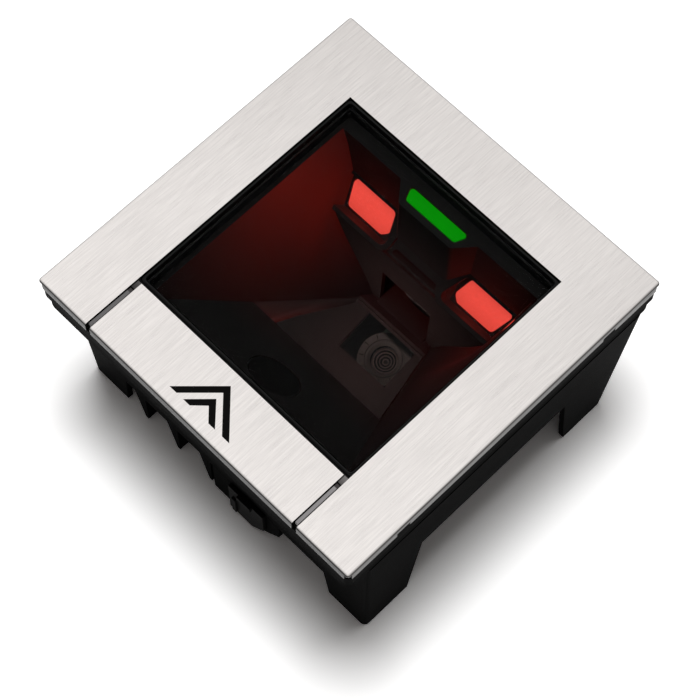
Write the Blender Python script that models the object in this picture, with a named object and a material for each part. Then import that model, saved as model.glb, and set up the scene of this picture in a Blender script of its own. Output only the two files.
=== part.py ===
"""Fixed barcode reader for a counter top: steel top, glass window, optics funnel and legged housing."""

import math

import bmesh
import bpy
from mathutils import Matrix, Vector

# Driving dimensions in metres. Depths are measured down from the steel top.
HEIGHT = 0.0885
TOP_SIZE = 0.152
FRAME_WIDTH = 0.0243
SHEET = 0.0008
SKIRT_DROP = 0.005
BEND_RADIUS = 0.0012
CORNER_RELIEF = 0.0016
FRONT_SLOT = 0.00225
FIT = 0.0003
HALF = TOP_SIZE / 2
WINDOW_HALF = HALF - FRAME_WIDTH

# Window glass and its gasket
GLASS_DEPTH = 0.0005
GLASS_THICKNESS = 0.0032
GASKET_WIDTH = 0.0008
GASKET_FOOT = 0.0008
WINDOW_SHELF = 0.0018
FRONT_LIP = 0.001

# Light strips in the slots beside the front plate
STRIP_CLEARANCE = 0.0003
STRIP_HEIGHT = 0.002
STRIP_TOP_DEPTH = 0.0004
STRIP_LENGTH = 0.8 * FRAME_WIDTH

# Plastic bezel under the steel
BEZEL_DEPTH = 0.011
BEZEL_WALL = 0.0022
BEZEL_DECK = 0.0025
BEZEL_EDGE_INSET = 0.0003
BOSS_RADIUS = 0.0038
POST_WALL = 0.0014
SNAP_PLACE = 0.66 * HALF
SNAP_WIDTH = 0.0055
SNAP_HEIGHT = 0.0019
EAR_PLACE = 0.62 * WINDOW_HALF
EAR_REACH = 0.0049
EAR_RADIUS = 0.0031

# Optics tub: ledge, funnel and back wall, with places across the window and down the height
LEDGE_DEPTH = 0.0095
TUB_WALL = 0.002
SIDE_LEDGE = 0.0036
FRONT_LEDGE = 0.0022
BACK_LEDGE = 0.1238 * WINDOW_HALF
SLOPE_STEP = 0.0021
SLOPE_START = LEDGE_DEPTH + SLOPE_STEP
HOOD_TOP = (0.8375 * WINDOW_HALF, 0.3763 * HEIGHT)
HOOD_FOOT = (0.6781 * WINDOW_HALF, 0.4732 * HEIGHT)
HOOD_LIP = (0.5938 * WINDOW_HALF, 0.4486 * HEIGHT)
WALL_FOOT = (0.5551 * WINDOW_HALF, 0.87 * HEIGHT)
FOOT_HALF = 0.2937 * WINDOW_HALF
SIDE_LEAN = math.atan2(WINDOW_HALF - SIDE_LEDGE - FOOT_HALF, WALL_FOOT[1] - LEDGE_DEPTH)
FLARE_START = 0.0967 * WINDOW_HALF
FLARE_END = 0.6 * WINDOW_HALF
FUNNEL_BULGE = 0.1122 * WINDOW_HALF
NOSE_HALF = 0.2476 * WINDOW_HALF
NOSE_FRONT = 0.7215 * WINDOW_HALF
NOSE_FOOT_DEPTH = 0.408 * HEIGHT
NOSE_FLARE = 0.0067
NOSE_ROUND = 0.0022
FLARE_RINGS = 5
WALL_RINGS = 8

# Fold mirror on the sloping floor
MIRROR_FRONT = (-0.3327 * WINDOW_HALF, 0.46 * HEIGHT)
MIRROR_BACK = 0.4739 * WINDOW_HALF
MIRROR_TILT = math.atan2(WALL_FOOT[1] - MIRROR_FRONT[1], WALL_FOOT[0] - MIRROR_FRONT[0])
MIRROR_THICKNESS = 0.002
CLIP_OVERLAP = 0.0032
CLIP_RISE = 0.0012
SLOPE_RUN = WINDOW_HALF - FRONT_LEDGE + MIRROR_FRONT[0]
FRONT_SLOPE = math.atan2(MIRROR_FRONT[1] - SLOPE_START, SLOPE_RUN)

# Camera behind the port in the back wall
PORT_HALF = 0.2379 * WINDOW_HALF
PORT_TOP_DEPTH = 0.6113 * HEIGHT
LENS_OFFSET = 0.0586 * WINDOW_HALF
LENS_DEPTH = 0.704 * HEIGHT
LENS_SET_BACK = 0.0065
LENS_FACE = WALL_FOOT[0] + LENS_SET_BACK
LENS_RADIUS = 0.0052
LENS_BULGE = 35
BARREL_RADIUS = 0.0105
BARREL_LENGTH = 0.0072
HOLDER_HALF = 0.0093
HOLDER_THICKNESS = 0.0062
HOLDER_SET_BACK = 0.0032
BARREL_NECK = 0.0067
GROOVE_RADIUS = 0.0072
GROOVE_SIZE = 0.0005
BOARD_MARGIN = 0.0013
BOARD_THICKNESS = 0.0012
BRACKET_SHEET = 0.0012

# Lights
RED_INNER = 0.3772 * WINDOW_HALF
RED_OUTER = 0.7795 * WINDOW_HALF
RED_LENGTH = 0.924 * math.dist(HOOD_TOP, HOOD_FOOT)
RED_TAPER = 0.0036
RED_BULGE = 0.0025
RED_THICKNESS = 0.0012
RED_CORNER = 0.0019
GREEN_CORNER = 0.0012
GREEN_SPREAD = 0.0022
GREEN_LOW_HALF = 0.93 * NOSE_HALF
GREEN_TOP_HALF = GREEN_LOW_HALF + GREEN_SPREAD
GREEN_BACK = WINDOW_HALF - BACK_LEDGE
TRAY_GAP = 0.0009
TRAY_WALL = 0.0011
TRAY_TOP_INNER = RED_INNER - 0.0013
TRAY_LOW_INNER = NOSE_HALF + 0.0005
TRAY_CORNER = 0.0024
TRAY_TOP_RISE = 0.0018
TRAY_LIP_RISE = 0.0007
GREEN_WIDTH = 0.65 * (GREEN_BACK - NOSE_FRONT)
LAMP_SIZE = 0.0022
LAMP_HEIGHT = 0.0005
LAMP_SPACING = 0.0045
SENSOR_RADIUS = 0.0103
SENSOR_REACH = 0.6026 * math.hypot(SLOPE_RUN, MIRROR_FRONT[1] - SLOPE_START)

# Housing
RIM_INSET = 0.001
RIM_DEPTH = 0.018
RIM_ROUND = 0.0035
SIDE_SET_IN = 0.0033
FRONT_SET_IN = 0.0121
BACK_SET_IN = 0.0132
BASE_HALF_X = HALF - SIDE_SET_IN
BASE_FRONT = HALF - FRONT_SET_IN
BASE_BACK = HALF - BACK_SET_IN
SIDE_DRAFT = 0.036
FRONT_DRAFT = 0.035
BACK_DRAFT = 0.115
CORNER_ROUND = 0.0022
HOUSING_WALL = 0.0024
SIDE_EDGE_DEPTH = 0.5153 * HEIGHT
FRONT_EDGE_DEPTH = 0.7706 * HEIGHT
WELL_HALF = 0.6184 * HALF
WELL_DEPTH = 0.7627 * HEIGHT
SUMP_HALF = 0.4474 * HALF
SUMP_FRONT = 0.3158 * HALF
SUMP_BACK = 0.7566 * HALF
SUMP_CLEARANCE = 0.0045
SUMP_DEPTH = HEIGHT - SUMP_CLEARANCE
LEG_LENGTH_FRONT = 0.2868 * HALF
LEG_LENGTH_BACK = 0.2789 * HALF
LEG_WIDTH = 0.2408 * HALF
LEG_FLARE = 0.0045
LEG_FLARE_BACK = 0.0063
FIRST_RIB = -0.5684 * HALF
RIB_SPACING = 0.2296 * HALF
RIB_COUNT = 3
RIB_TIP = 0.0014
RIB_ROOT = 0.0062
RIB_REACH = 0.012
BLOCK_LEFT = 0.0055
BLOCK_RIGHT = 0.019
BLOCK_CHAMFER = 0.0102
BLOCK_SHOULDER = 0.55 * (HEIGHT - FRONT_EDGE_DEPTH)
BLOCK_REACH = 0.0165
BLOCK_WALL = 0.0018
COVER_LEFT = 0.0049
COVER_RIGHT = 0.0229
COVER_RISE = 0.0024
COVER_THICKNESS = 0.0016
COVER_MARGIN = 0.0022
TAB_WIDTH = 0.0071
TAB_HEIGHT = 0.0012
LATCH_WIDTH = 0.0022
LATCH_LENGTH = 0.0115
LATCH_HEIGHT = 0.001

# Boards, sounder and fasteners
BOARD_RISE = 0.0092
BOARD_SIDE_GAP = 0.0055
BOARD_BACK_GAP = 0.003
MAIN_BOARD_DEPTH = WELL_DEPTH - BOARD_RISE
MAIN_BOARD_HALF = WELL_HALF - BOARD_SIDE_GAP
MAIN_BOARD_BACK = SUMP_FRONT + BOARD_BACK_GAP
SOCKET_WIDTH = 0.0135
SOCKET_LENGTH = 0.0105
SOCKET_HEIGHT = 0.0175
SOUNDER_RADIUS = 0.0085
SOUNDER_HEIGHT = 0.0055
SOUND_HOLE = 0.0021
PROCESSOR = (0.016, 0.016, 0.003)
MEMORY = (0.009, 0.0125, 0.0012)
POWER_COIL = (0.0105, 0.0105, 0.0048)
STANDOFF_RADIUS = 0.0027
BASE_COVER = 0.002
SCREW_RADIUS = 0.0015
SCREW_HEAD = 0.0028
HEAD_HEIGHT = 0.0018
SCREW_LENGTH = 0.006
SMALL_SCREW_RADIUS = 0.0011
SMALL_SCREW_HEAD = 0.0021
SMALL_HEAD_HEIGHT = 0.0013
SMALL_SCREW_LENGTH = 0.0045
POST_RADIUS = SCREW_HEAD + FIT + POST_WALL

ROUND_STEPS = 4
TURN_STEPS = 40
FASTENER_STEPS = 20
SMALL_STEPS = 14


def level(depth):
    """Height above the rest plane of what lies this deep below the steel top."""
    return HEIGHT - depth


def clear_scene():
    for thing in list(bpy.data.objects):
        bpy.data.objects.remove(thing)


def material(name, colour, roughness, metallic=0.0, alpha=1.0):
    made = bpy.data.materials.new(name)
    made.use_nodes = True
    shader = made.node_tree.nodes["Principled BSDF"]
    shader.inputs["Base Color"].default_value = (*colour, 1)
    shader.inputs["Roughness"].default_value = roughness
    shader.inputs["Metallic"].default_value = metallic
    shader.inputs["Alpha"].default_value = alpha
    made.diffuse_color = (*colour, alpha)
    return made


def add_object(name, mesh, surface=None):
    thing = bpy.data.objects.new(name, mesh)
    bpy.context.scene.collection.objects.link(thing)
    if surface is not None:
        mesh.materials.append(surface)
    return thing


def solid_from(name, shape, surface=None):
    """An object from a bmesh, with its faces turned outwards."""
    bmesh.ops.recalc_face_normals(shape, faces=shape.faces)
    mesh = bpy.data.meshes.new(name)
    shape.to_mesh(mesh)
    shape.free()
    return add_object(name, mesh, surface)


def helper(thing):
    thing.hide_render = True
    thing.display_type = "WIRE"
    return thing


def combine(body, tool, operation):
    helper(tool)
    step = body.modifiers.new(operation.title() + " " + tool.name, "BOOLEAN")
    step.operation = operation
    step.solver = "EXACT"
    step.object = tool
    return body


def cut(body, tool):
    return combine(body, tool, "DIFFERENCE")


def unite(body, tool):
    return combine(body, tool, "UNION")


def rectangle(x0, x1, y0, y1):
    return [(x0, y0), (x1, y0), (x1, y1), (x0, y1)]


def circle(radius, place, steps=TURN_STEPS):
    angles = [2 * math.pi * k / steps for k in range(steps)]
    return [(place[0] + radius * math.cos(a), place[1] + radius * math.sin(a)) for a in angles]


def rounded(outline, radius, steps=ROUND_STEPS):
    """The outline with every corner turned into an arc."""
    if radius <= 0:
        return list(outline)
    points = []
    for number, place in enumerate(outline):
        corner = Vector(place)
        back = (Vector(outline[number - 1]) - corner).normalized()
        ahead = (Vector(outline[(number + 1) % len(outline)]) - corner).normalized()
        half = back.angle(ahead) / 2
        centre = corner + (back + ahead).normalized() * radius / math.sin(half)
        start = corner + back * radius / math.tan(half) - centre
        turn = (math.pi - 2 * half) * (1 if ahead.cross(back) > 0 else -1)
        for k in range(steps + 1):
            angle = turn * k / steps
            swung = Vector((start.x * math.cos(angle) - start.y * math.sin(angle),
                            start.x * math.sin(angle) + start.y * math.cos(angle)))
            points.append(tuple(centre + swung))
    return points


def grown(outline, amount):
    """The outline, listed anticlockwise, moved outwards by this amount along every side."""
    points = []
    for number, place in enumerate(outline):
        corner = Vector(place)
        back = (corner - Vector(outline[number - 1])).normalized()
        ahead = (Vector(outline[(number + 1) % len(outline)]) - corner).normalized()
        first = Vector((back.y, -back.x))
        second = Vector((ahead.y, -ahead.x))
        points.append(tuple(corner + (first + second) * amount / (1 + first.dot(second))))
    return points


def loft(name, rings, surface=None):
    """A closed solid through rings of equally many points, with flat ends."""
    shape = bmesh.new()
    loops = [[shape.verts.new(point) for point in ring] for ring in rings]
    for lower, upper in zip(loops, loops[1:]):
        for number in range(len(lower)):
            after = (number + 1) % len(lower)
            shape.faces.new((lower[number], lower[after], upper[after], upper[number]))
    shape.faces.new(loops[0][::-1])
    shape.faces.new(loops[-1])
    return solid_from(name, shape, surface)


def prism(name, outline, low, high, surface=None, along="Z"):
    """The outline pushed from low to high along an axis. Along X it lies in Y and Z, along Y in X and Z."""
    if along == "X":
        rings = [[(end, a, b) for a, b in outline] for end in (low, high)]
    elif along == "Y":
        rings = [[(a, end, b) for a, b in outline] for end in (low, high)]
    else:
        rings = [[(a, b, end) for a, b in outline] for end in (low, high)]
    return loft(name, rings, surface)


def frame_prism(name, outer, inner, low, high, surface=None):
    """A closed ring between two outlines of equally many points."""
    shape = bmesh.new()
    loops = []
    for outline, end in ((outer, low), (outer, high), (inner, high), (inner, low)):
        loops.append([shape.verts.new((a, b, end)) for a, b in outline])
    for first, second in zip(loops, loops[1:] + loops[:1]):
        for number in range(len(first)):
            after = (number + 1) % len(first)
            shape.faces.new((first[number], first[after], second[after], second[number]))
    return solid_from(name, shape, surface)


def turned(name, profile, place, surface=None, along="Z", steps=TURN_STEPS):
    """A solid of revolution. The profile lists radius and height, and a radius of 0 lies on the axis."""
    shape = bmesh.new()
    rings = []
    for radius, height in profile:
        if radius == 0:
            rings.append([shape.verts.new((0, 0, height))])
            continue
        angles = [2 * math.pi * k / steps for k in range(steps)]
        places = [(radius * math.cos(a), radius * math.sin(a), height) for a in angles]
        rings.append([shape.verts.new(point) for point in places])
    closed = profile[0][0] > 0
    pairs = list(zip(rings, rings[1:])) + ([(rings[-1], rings[0])] if closed else [])
    for first, second in pairs:
        for k in range(steps):
            after = (k + 1) % steps
            corners = [first[k % len(first)], first[after % len(first)],
                       second[after % len(second)], second[k % len(second)]]
            corners = [corner for n, corner in enumerate(corners) if corner not in corners[:n]]
            shape.faces.new(corners)
    if along == "Y":
        bmesh.ops.rotate(shape, verts=shape.verts, matrix=Matrix.Rotation(math.radians(90), 3, "X"))
    thing = solid_from(name, shape, surface)
    thing.location = place
    smooth(thing)
    return thing


def smooth(thing, angle=30):
    for face in thing.data.polygons:
        face.use_smooth = True
    thing.data.set_sharp_from_angle(angle=math.radians(angle))


def bevel_edges(thing, radius, chosen, steps=ROUND_STEPS):
    """Rounds the edges of a plain mesh whose two ends pass the test."""
    shape = bmesh.new()
    shape.from_mesh(thing.data)
    edges = [edge for edge in shape.edges if chosen(edge.verts[0].co, edge.verts[1].co)]
    bmesh.ops.bevel(shape, geom=edges, offset=radius, segments=steps, profile=0.5, affect="EDGES")
    shape.to_mesh(thing.data)
    shape.free()
    return thing


def make_materials():
    return {
        "steel": material("brushed_steel", (0.62, 0.61, 0.6), 0.35, 1.0),
        "black": material("black_plastic", (0.012, 0.012, 0.013), 0.5),
        "grey": material("dark_grey_plastic", (0.035, 0.035, 0.038), 0.45),
        "rubber": material("black_rubber", (0.008, 0.008, 0.008), 0.7),
        "glass": material("window_glass", (0.75, 0.8, 0.82), 0.03, 0.0, 0.2),
        "strip": material("light_strip", (0.3, 0.27, 0.33), 0.3),
        "mirror": material("mirror_glass", (0.8, 0.82, 0.84), 0.02, 1.0),
        "red": material("red_window", (0.8, 0.04, 0.03), 0.25),
        "green": material("green_window", (0.0, 0.35, 0.02), 0.25),
        "filter": material("dark_filter", (0.02, 0.02, 0.022), 0.15),
        "board": material("circuit_board", (0.01, 0.09, 0.04), 0.4),
        "metal": material("screw_steel", (0.45, 0.45, 0.46), 0.3, 1.0),
        "holder": material("pale_plastic", (0.35, 0.33, 0.33), 0.4),
        "lens": material("lens_glass", (0.1, 0.1, 0.14), 0.03, 0.0, 0.5),
    }


def on_outer_side(point):
    return abs(max(abs(point.x), abs(point.y)) - HALF) < 1e-6


def top_frame(surface):
    """Steel sheet around three sides of the window, its outer edges folded down."""
    outline = [
        (-HALF, -HALF), (-WINDOW_HALF, -HALF), (-WINDOW_HALF, WINDOW_HALF), (WINDOW_HALF, WINDOW_HALF),
        (WINDOW_HALF, -HALF), (HALF, -HALF), (HALF, HALF), (-HALF, HALF),
    ]
    body = prism("top_frame", outline, level(SKIRT_DROP), HEIGHT, surface)

    def folded(a, b):
        on_top = min(a.z, b.z) > HEIGHT - 1e-6 and on_outer_side(a) and on_outer_side(b)
        upright = abs(a.x - b.x) + abs(a.y - b.y) < 1e-6
        corners = upright and abs(abs(a.x) - HALF) + abs(abs(a.y) - HALF) < 1e-6
        return (on_top and not on_slot(a, b)) or corners

    def on_slot(a, b):
        return abs(a.x - b.x) < 1e-6 and abs(abs(a.x) - WINDOW_HALF) < 1e-6

    bevel_edges(body, BEND_RADIUS, folded)
    inner = HALF - SHEET
    outline = rectangle(-inner, inner, -inner, inner)
    hollow = prism("top_frame_hollow", outline, level(2 * SKIRT_DROP), level(SHEET))
    top = level(SHEET)
    bevel_edges(hollow, BEND_RADIUS - SHEET, lambda a, b: min(a.z, b.z) > top - 1e-6, 3)
    cut(body, hollow)
    for x in (-1, 1):
        for y in (-1, 1):
            profile = [(0, level(2 * SKIRT_DROP)), (CORNER_RELIEF, level(2 * SKIRT_DROP)),
                       (CORNER_RELIEF, level(BEND_RADIUS)), (0, level(BEND_RADIUS))]
            place = (x * (HALF - SHEET / 2), y * (HALF - SHEET / 2), 0)
            cut(body, turned("top_frame_relief", profile, place, steps=FASTENER_STEPS))
            cut(body, snap_block("top_frame_notch", x, y, FIT))
    return body


def snap_block(name, x, y, margin):
    """Block through a side skirt's lower edge where the bezel's snap hook catches."""
    half = SNAP_WIDTH / 2 + margin
    sides = sorted((x * (HALF - SHEET - FIT - margin), x * (HALF - BEZEL_EDGE_INSET + 2 * margin)))
    middle = y * SNAP_PLACE
    outline = rectangle(*sides, middle - half, middle + half)
    return prism(name, outline, level(SKIRT_DROP + 2 * FIT), level(SKIRT_DROP - SNAP_HEIGHT - margin))


def bend_arc(radius):
    """Quarter turn of the front plate's bend, from its flat top to its front."""
    angles = [math.radians(90 * k / ROUND_STEPS) for k in range(ROUND_STEPS + 1)]
    middle = (-HALF + BEND_RADIUS, level(BEND_RADIUS))
    return [(middle[0] - radius * math.sin(a), middle[1] + radius * math.cos(a)) for a in angles]


def folded_profile(back):
    """Section of the front plate: flat on top, bent down at the front."""
    ends = [(-HALF, level(SKIRT_DROP)), (-HALF + SHEET, level(SKIRT_DROP))]
    inner = bend_arc(BEND_RADIUS - SHEET)[::-1]
    return [(back, HEIGHT)] + bend_arc(BEND_RADIUS) + ends + inner + [(back, level(SHEET))]


def front_plate(surface):
    half = WINDOW_HALF - FRONT_SLOT
    return prism("front_plate", folded_profile(-WINDOW_HALF), -half, half, surface, "X")


def pocket_outline(margin):
    """Outline of the window's seat in the bezel, moved in by a margin."""
    side = WINDOW_HALF - margin
    return rectangle(-side, side, -side + FRONT_LIP, side)


def bezel_frame(surface):
    """Plastic frame under the steel: a deck, an edge band, an inner wall and corner bosses."""
    seat_depth = GLASS_DEPTH + GLASS_THICKNESS + GASKET_FOOT + 2 * FIT
    edge = HALF - BEZEL_EDGE_INSET
    top = HALF - SHEET - FIT
    band_top = SKIRT_DROP + FIT
    body = prism("bezel_frame", rounded(rectangle(-top, top, -top, top), BEND_RADIUS),
                 level(band_top + SHEET), level(SHEET + FIT), surface)
    band = prism("bezel_band", rounded(rectangle(-edge, edge, -edge, edge), 2 * BEND_RADIUS),
                 level(BEZEL_DEPTH), level(band_top))
    unite(body, band)
    side = edge - BEZEL_WALL
    outer = rounded(rectangle(-side, side, -side, side), BEZEL_WALL)
    inner = rounded(grown(pocket_outline(0), BEZEL_WALL), BEZEL_WALL)
    deck = level(SHEET + FIT + BEZEL_DECK)
    cut(body, frame_prism("bezel_channel", outer, inner, level(2 * BEZEL_DEPTH), deck))
    opening = rounded(pocket_outline(WINDOW_SHELF), BEND_RADIUS)
    cut(body, prism("bezel_opening", opening, level(2 * BEZEL_DEPTH), HEIGHT))
    cut(body, prism("bezel_pocket", rounded(pocket_outline(0), BEND_RADIUS), level(seat_depth), HEIGHT))
    foot = grown(pocket_outline(0), 2 * BEZEL_WALL)
    cut(body, prism("bezel_tub_seat", foot, level(2 * BEZEL_DEPTH), level(LEDGE_DEPTH - FIT)))
    for x in (-1, 1):
        for y in (-1, 1):
            unite(body, bezel_boss(x, y))
            unite(body, snap_block("bezel_snap", x, y, 0))
            cut(body, bezel_screw_hole(x, y))
            unite(body, ear_boss(x, y))
            cut(body, ear_boss_hole(x, y))
        cut(body, strip_groove(x))
    return body


def ear_place(x, y):
    """Centre of a tub screw, outside the bezel's inner wall."""
    return x * (WINDOW_HALF + BEZEL_WALL + EAR_REACH - EAR_RADIUS / 2), y * EAR_PLACE


def ear_boss(x, y):
    low = level(LEDGE_DEPTH)
    high = level(SHEET + FIT + BEZEL_DECK / 2)
    profile = [(0, low), (EAR_RADIUS, low), (EAR_RADIUS, high), (0, high)]
    return turned("bezel_ear_boss", profile, (*ear_place(x, y), 0), steps=FASTENER_STEPS)


def ear_boss_hole(x, y):
    radius = SMALL_SCREW_RADIUS + FIT
    low = level(BEZEL_DEPTH)
    high = level(SHEET + FIT + BEZEL_DECK)
    profile = [(0, low), (radius, low), (radius, high), (0, high)]
    return turned("bezel_ear_hole", profile, (*ear_place(x, y), 0), steps=SMALL_STEPS)


def bezel_boss(x, y):
    low = level(BEZEL_DEPTH)
    high = level(SHEET + FIT + BEZEL_DECK / 2)
    profile = [(0, low), (BOSS_RADIUS, low), (BOSS_RADIUS, high), (0, high)]
    return turned("bezel_boss", profile, (*boss_place(x, y), 0), steps=FASTENER_STEPS)


def bezel_screw_hole(x, y):
    radius = SCREW_RADIUS + FIT
    low = level(2 * BEZEL_DEPTH)
    high = level(SHEET + FIT + BEZEL_DECK)
    profile = [(0, low), (radius, low), (radius, high), (0, high)]
    return turned("bezel_screw_hole", profile, (*boss_place(x, y), 0), steps=FASTENER_STEPS)


def boss_place(x, y):
    """Centre of a case screw: midway along the steel's side arms and close behind the bezel's inner wall."""
    return x * (HALF + WINDOW_HALF) / 2, y * (WINDOW_HALF + BEZEL_WALL + POST_RADIUS)


def strip_span():
    centre = WINDOW_HALF - FRONT_SLOT / 2
    half = FRONT_SLOT / 2 - STRIP_CLEARANCE
    front = -HALF + SHEET + 2 * FIT
    return centre, half, front, front + STRIP_LENGTH


def strip_groove(x):
    centre, half, front, back = strip_span()
    sides = sorted((x * (centre - half - FIT), x * (centre + half + FIT)))
    outline = rectangle(*sides, front - FIT, back + FIT)
    return prism("strip_groove", outline, level(STRIP_TOP_DEPTH + STRIP_HEIGHT + FIT), HEIGHT)


def light_strip(name, x, surface):
    centre, half, front, back = strip_span()
    sides = sorted((x * (centre - half), x * (centre + half)))
    top = level(STRIP_TOP_DEPTH)
    body = prism(name, rectangle(*sides, front, back), top - STRIP_HEIGHT, top, surface)
    return bevel_edges(body, half / 3, lambda a, b: min(a.z, b.z) > top - 1e-6, 2)


def window_glass(surface):
    outline = rounded(pocket_outline(2 * FIT + GASKET_WIDTH), BEND_RADIUS)
    top = level(GLASS_DEPTH)
    body = prism("window_glass", outline, top - GLASS_THICKNESS, top, surface)
    return bevel_edges(body, GLASS_THICKNESS / 10, lambda a, b: min(a.z, b.z) > top - 1e-6, 1)


def window_gasket(surface):
    """Rubber angle around the glass: a wall beside it and a foot under it."""
    outer = rounded(pocket_outline(FIT), BEND_RADIUS)
    inner = rounded(pocket_outline(FIT + GASKET_WIDTH), BEND_RADIUS)
    foot = rounded(pocket_outline(WINDOW_SHELF), BEND_RADIUS)
    bottom = level(GLASS_DEPTH + GLASS_THICKNESS + FIT + GASKET_FOOT)
    body = frame_prism("window_gasket", outer, foot, bottom, bottom + GASKET_FOOT, surface)
    wall = frame_prism("gasket_wall", outer, inner, bottom + GASKET_FOOT / 2, level(SHEET + FIT))
    return unite(body, wall)


def smoothstep(value):
    value = min(max(value, 0), 1)
    return value * value * (3 - 2 * value)


def funnel_half(y, depth):
    """Half width of the funnel: plane side walls that bulge towards the back wall."""
    plane = WINDOW_HALF - SIDE_LEDGE - (depth - LEDGE_DEPTH) * math.tan(SIDE_LEAN)
    share = (depth - LEDGE_DEPTH) / (WALL_FOOT[1] - LEDGE_DEPTH)
    bulge = FUNNEL_BULGE * math.sin(math.pi * min(max(share, 0), 1)) ** 2
    return plane + bulge * smoothstep((y - FLARE_START) / (FLARE_END - FLARE_START))


def slope_depth(y):
    """Depth of the funnel's sloping floor: the front slope, then the mirror's plane."""
    if y < MIRROR_FRONT[0]:
        return MIRROR_FRONT[1] - (MIRROR_FRONT[0] - y) * math.tan(FRONT_SLOPE)
    return MIRROR_FRONT[1] + (y - MIRROR_FRONT[0]) * math.tan(MIRROR_TILT)


def funnel_loft(name, wall, top_depth):
    """The funnel's inside up to its floor, or its outside when a wall thickness is given."""
    front = -(WINDOW_HALF - FRONT_LEDGE) - wall
    back = WINDOW_HALF + wall
    step = MIRROR_FRONT[0] - 2 * wall
    reach = FLARE_END - FLARE_START
    flare = [FLARE_START + reach * k / FLARE_RINGS for k in range(FLARE_RINGS + 1)]
    places = [front, step - FIT, step] + flare + [back]
    rings = []
    for y in places:
        deeper = (MIRROR_THICKNESS + FIT if y >= step and wall else 0) + wall
        floor = min(slope_depth(y) + deeper / math.cos(MIRROR_TILT), SUMP_DEPTH - HOUSING_WALL - 2 * FIT)
        depths = [top_depth + (floor - top_depth) * k / WALL_RINGS for k in range(WALL_RINGS + 1)]
        right = [(funnel_half(y, depth) + wall / math.cos(SIDE_LEAN), y, level(depth)) for depth in depths]
        rings.append([(-x, y, z) for x, y, z in right] + right[::-1])
    return loft(name, rings)


def back_wall_prism(name, wall):
    """What lies behind the back wall: upper wall, light recess, lip and lower wall."""
    far = 2 * WINDOW_HALF
    outline = [
        (WINDOW_HALF - BACK_LEDGE, HEIGHT), (HOOD_TOP[0], level(HOOD_TOP[1])),
        (HOOD_FOOT[0], level(HOOD_FOOT[1])), (HOOD_LIP[0], level(HOOD_LIP[1])),
        (WALL_FOOT[0], level(WALL_FOOT[1])), (WALL_FOOT[0], -HEIGHT), (far, -HEIGHT), (far, HEIGHT),
    ]
    return prism(name, grown(outline, -wall), -far, far, along="X")


def nose_loft(name, wall):
    """The block between the light recesses: a steep front, rounded flanks and a sloping foot."""
    rings = []
    rise = HOOD_LIP[1] - NOSE_FOOT_DEPTH
    for depth, front in ((-LEDGE_DEPTH, NOSE_FRONT), (NOSE_FOOT_DEPTH - wall / 2, NOSE_FRONT - FIT),
                         (HOOD_LIP[1] + rise / 2 - wall, HOOD_LIP[0]),
                         (HOOD_FOOT[1] + 2 * FIT - wall, HOOD_LIP[0])):
        half = NOSE_HALF - wall
        far = WINDOW_HALF
        spread = half + NOSE_FLARE * (far - front - wall) / (WINDOW_HALF - BACK_LEDGE - NOSE_FRONT)
        outline = [(-half, front + wall), (half, front + wall), (spread, far), (-spread, far)]
        arcs = rounded(outline, NOSE_ROUND)
        rings.append([(x, y, level(depth)) for x, y in arcs])
    return loft(name, rings)


def tilted(name, outline, place, down, low, high, surface=None):
    """A plate on a sloping plane: the outline gives X and the way down the slope from a place."""
    y, depth = place
    slope = Vector(down).normalized()
    normal = Vector((-slope.y, slope.x)) * (1 if slope.x > 0 else -1)
    rings = []
    for lift in (low, high):
        rings.append([(x, y + slope.x * s + normal.x * lift, level(depth) + slope.y * s + normal.y * lift)
                      for x, s in outline])
    return loft(name, rings, surface)


def slope_down():
    return (math.cos(FRONT_SLOPE), -math.sin(FRONT_SLOPE))


def mirror_down():
    return (math.cos(MIRROR_TILT), -math.sin(MIRROR_TILT))


def hood_down():
    return (HOOD_FOOT[0] - HOOD_TOP[0], HOOD_TOP[1] - HOOD_FOOT[1])


def mirror_outline():
    """Mirror edges a fit inside the funnel's walls, from its front edge down its slope."""
    length = (MIRROR_BACK - MIRROR_FRONT[0]) / math.cos(MIRROR_TILT)
    lean = math.tan(SIDE_LEAN)
    front = WINDOW_HALF - SIDE_LEDGE - (MIRROR_FRONT[1] - LEDGE_DEPTH) * lean - 2 * FIT
    back = front - length * math.sin(MIRROR_TILT) * lean
    return [(-front, 2 * FIT), (front, 2 * FIT), (back, length), (-back, length)]


def red_outline(x):
    """A light window: straight along the top, tapered outside, bulging inside."""
    outline = [(RED_INNER, 0), (RED_OUTER, 0), (RED_OUTER - RED_TAPER, RED_LENGTH), (RED_INNER, RED_LENGTH),
               (RED_INNER - RED_BULGE, RED_LENGTH - RED_BULGE)]
    return mirrored(outline, x)


def green_outline():
    low = GREEN_BACK - GREEN_WIDTH
    return [(-GREEN_LOW_HALF, low), (GREEN_LOW_HALF, low),
            (GREEN_TOP_HALF, GREEN_BACK), (-GREEN_TOP_HALF, GREEN_BACK)]


def optics_tub(surface):
    """Moulded funnel under the glass with its flange, back wall, light recesses and camera port."""
    body = funnel_loft("optics_tub", TUB_WALL, LEDGE_DEPTH + FIT)
    body.data.materials.append(surface)
    cut(body, back_wall_prism("tub_back", TUB_WALL))
    cut(body, nose_loft("tub_nose_hollow", TUB_WALL))
    flange = rounded(grown(pocket_outline(0), BEZEL_WALL - WINDOW_SHELF / 2), BEZEL_WALL)
    unite(body, prism("tub_flange", flange, level(LEDGE_DEPTH + TUB_WALL), level(LEDGE_DEPTH)))
    cavity = funnel_loft("tub_cavity", 0, LEDGE_DEPTH - BEZEL_WALL)
    cut(cavity, back_wall_prism("cavity_back", 0))
    cut(cavity, nose_loft("cavity_nose", 0))
    for x in (-1, 1):
        cut(cavity, light_tray(x))
    cut(body, cavity)
    for x in (-1, 1):
        for y in (-1, 1):
            unite(body, tub_ear(x, y))
    for opening in tub_openings():
        cut(body, opening)
    return body


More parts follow.
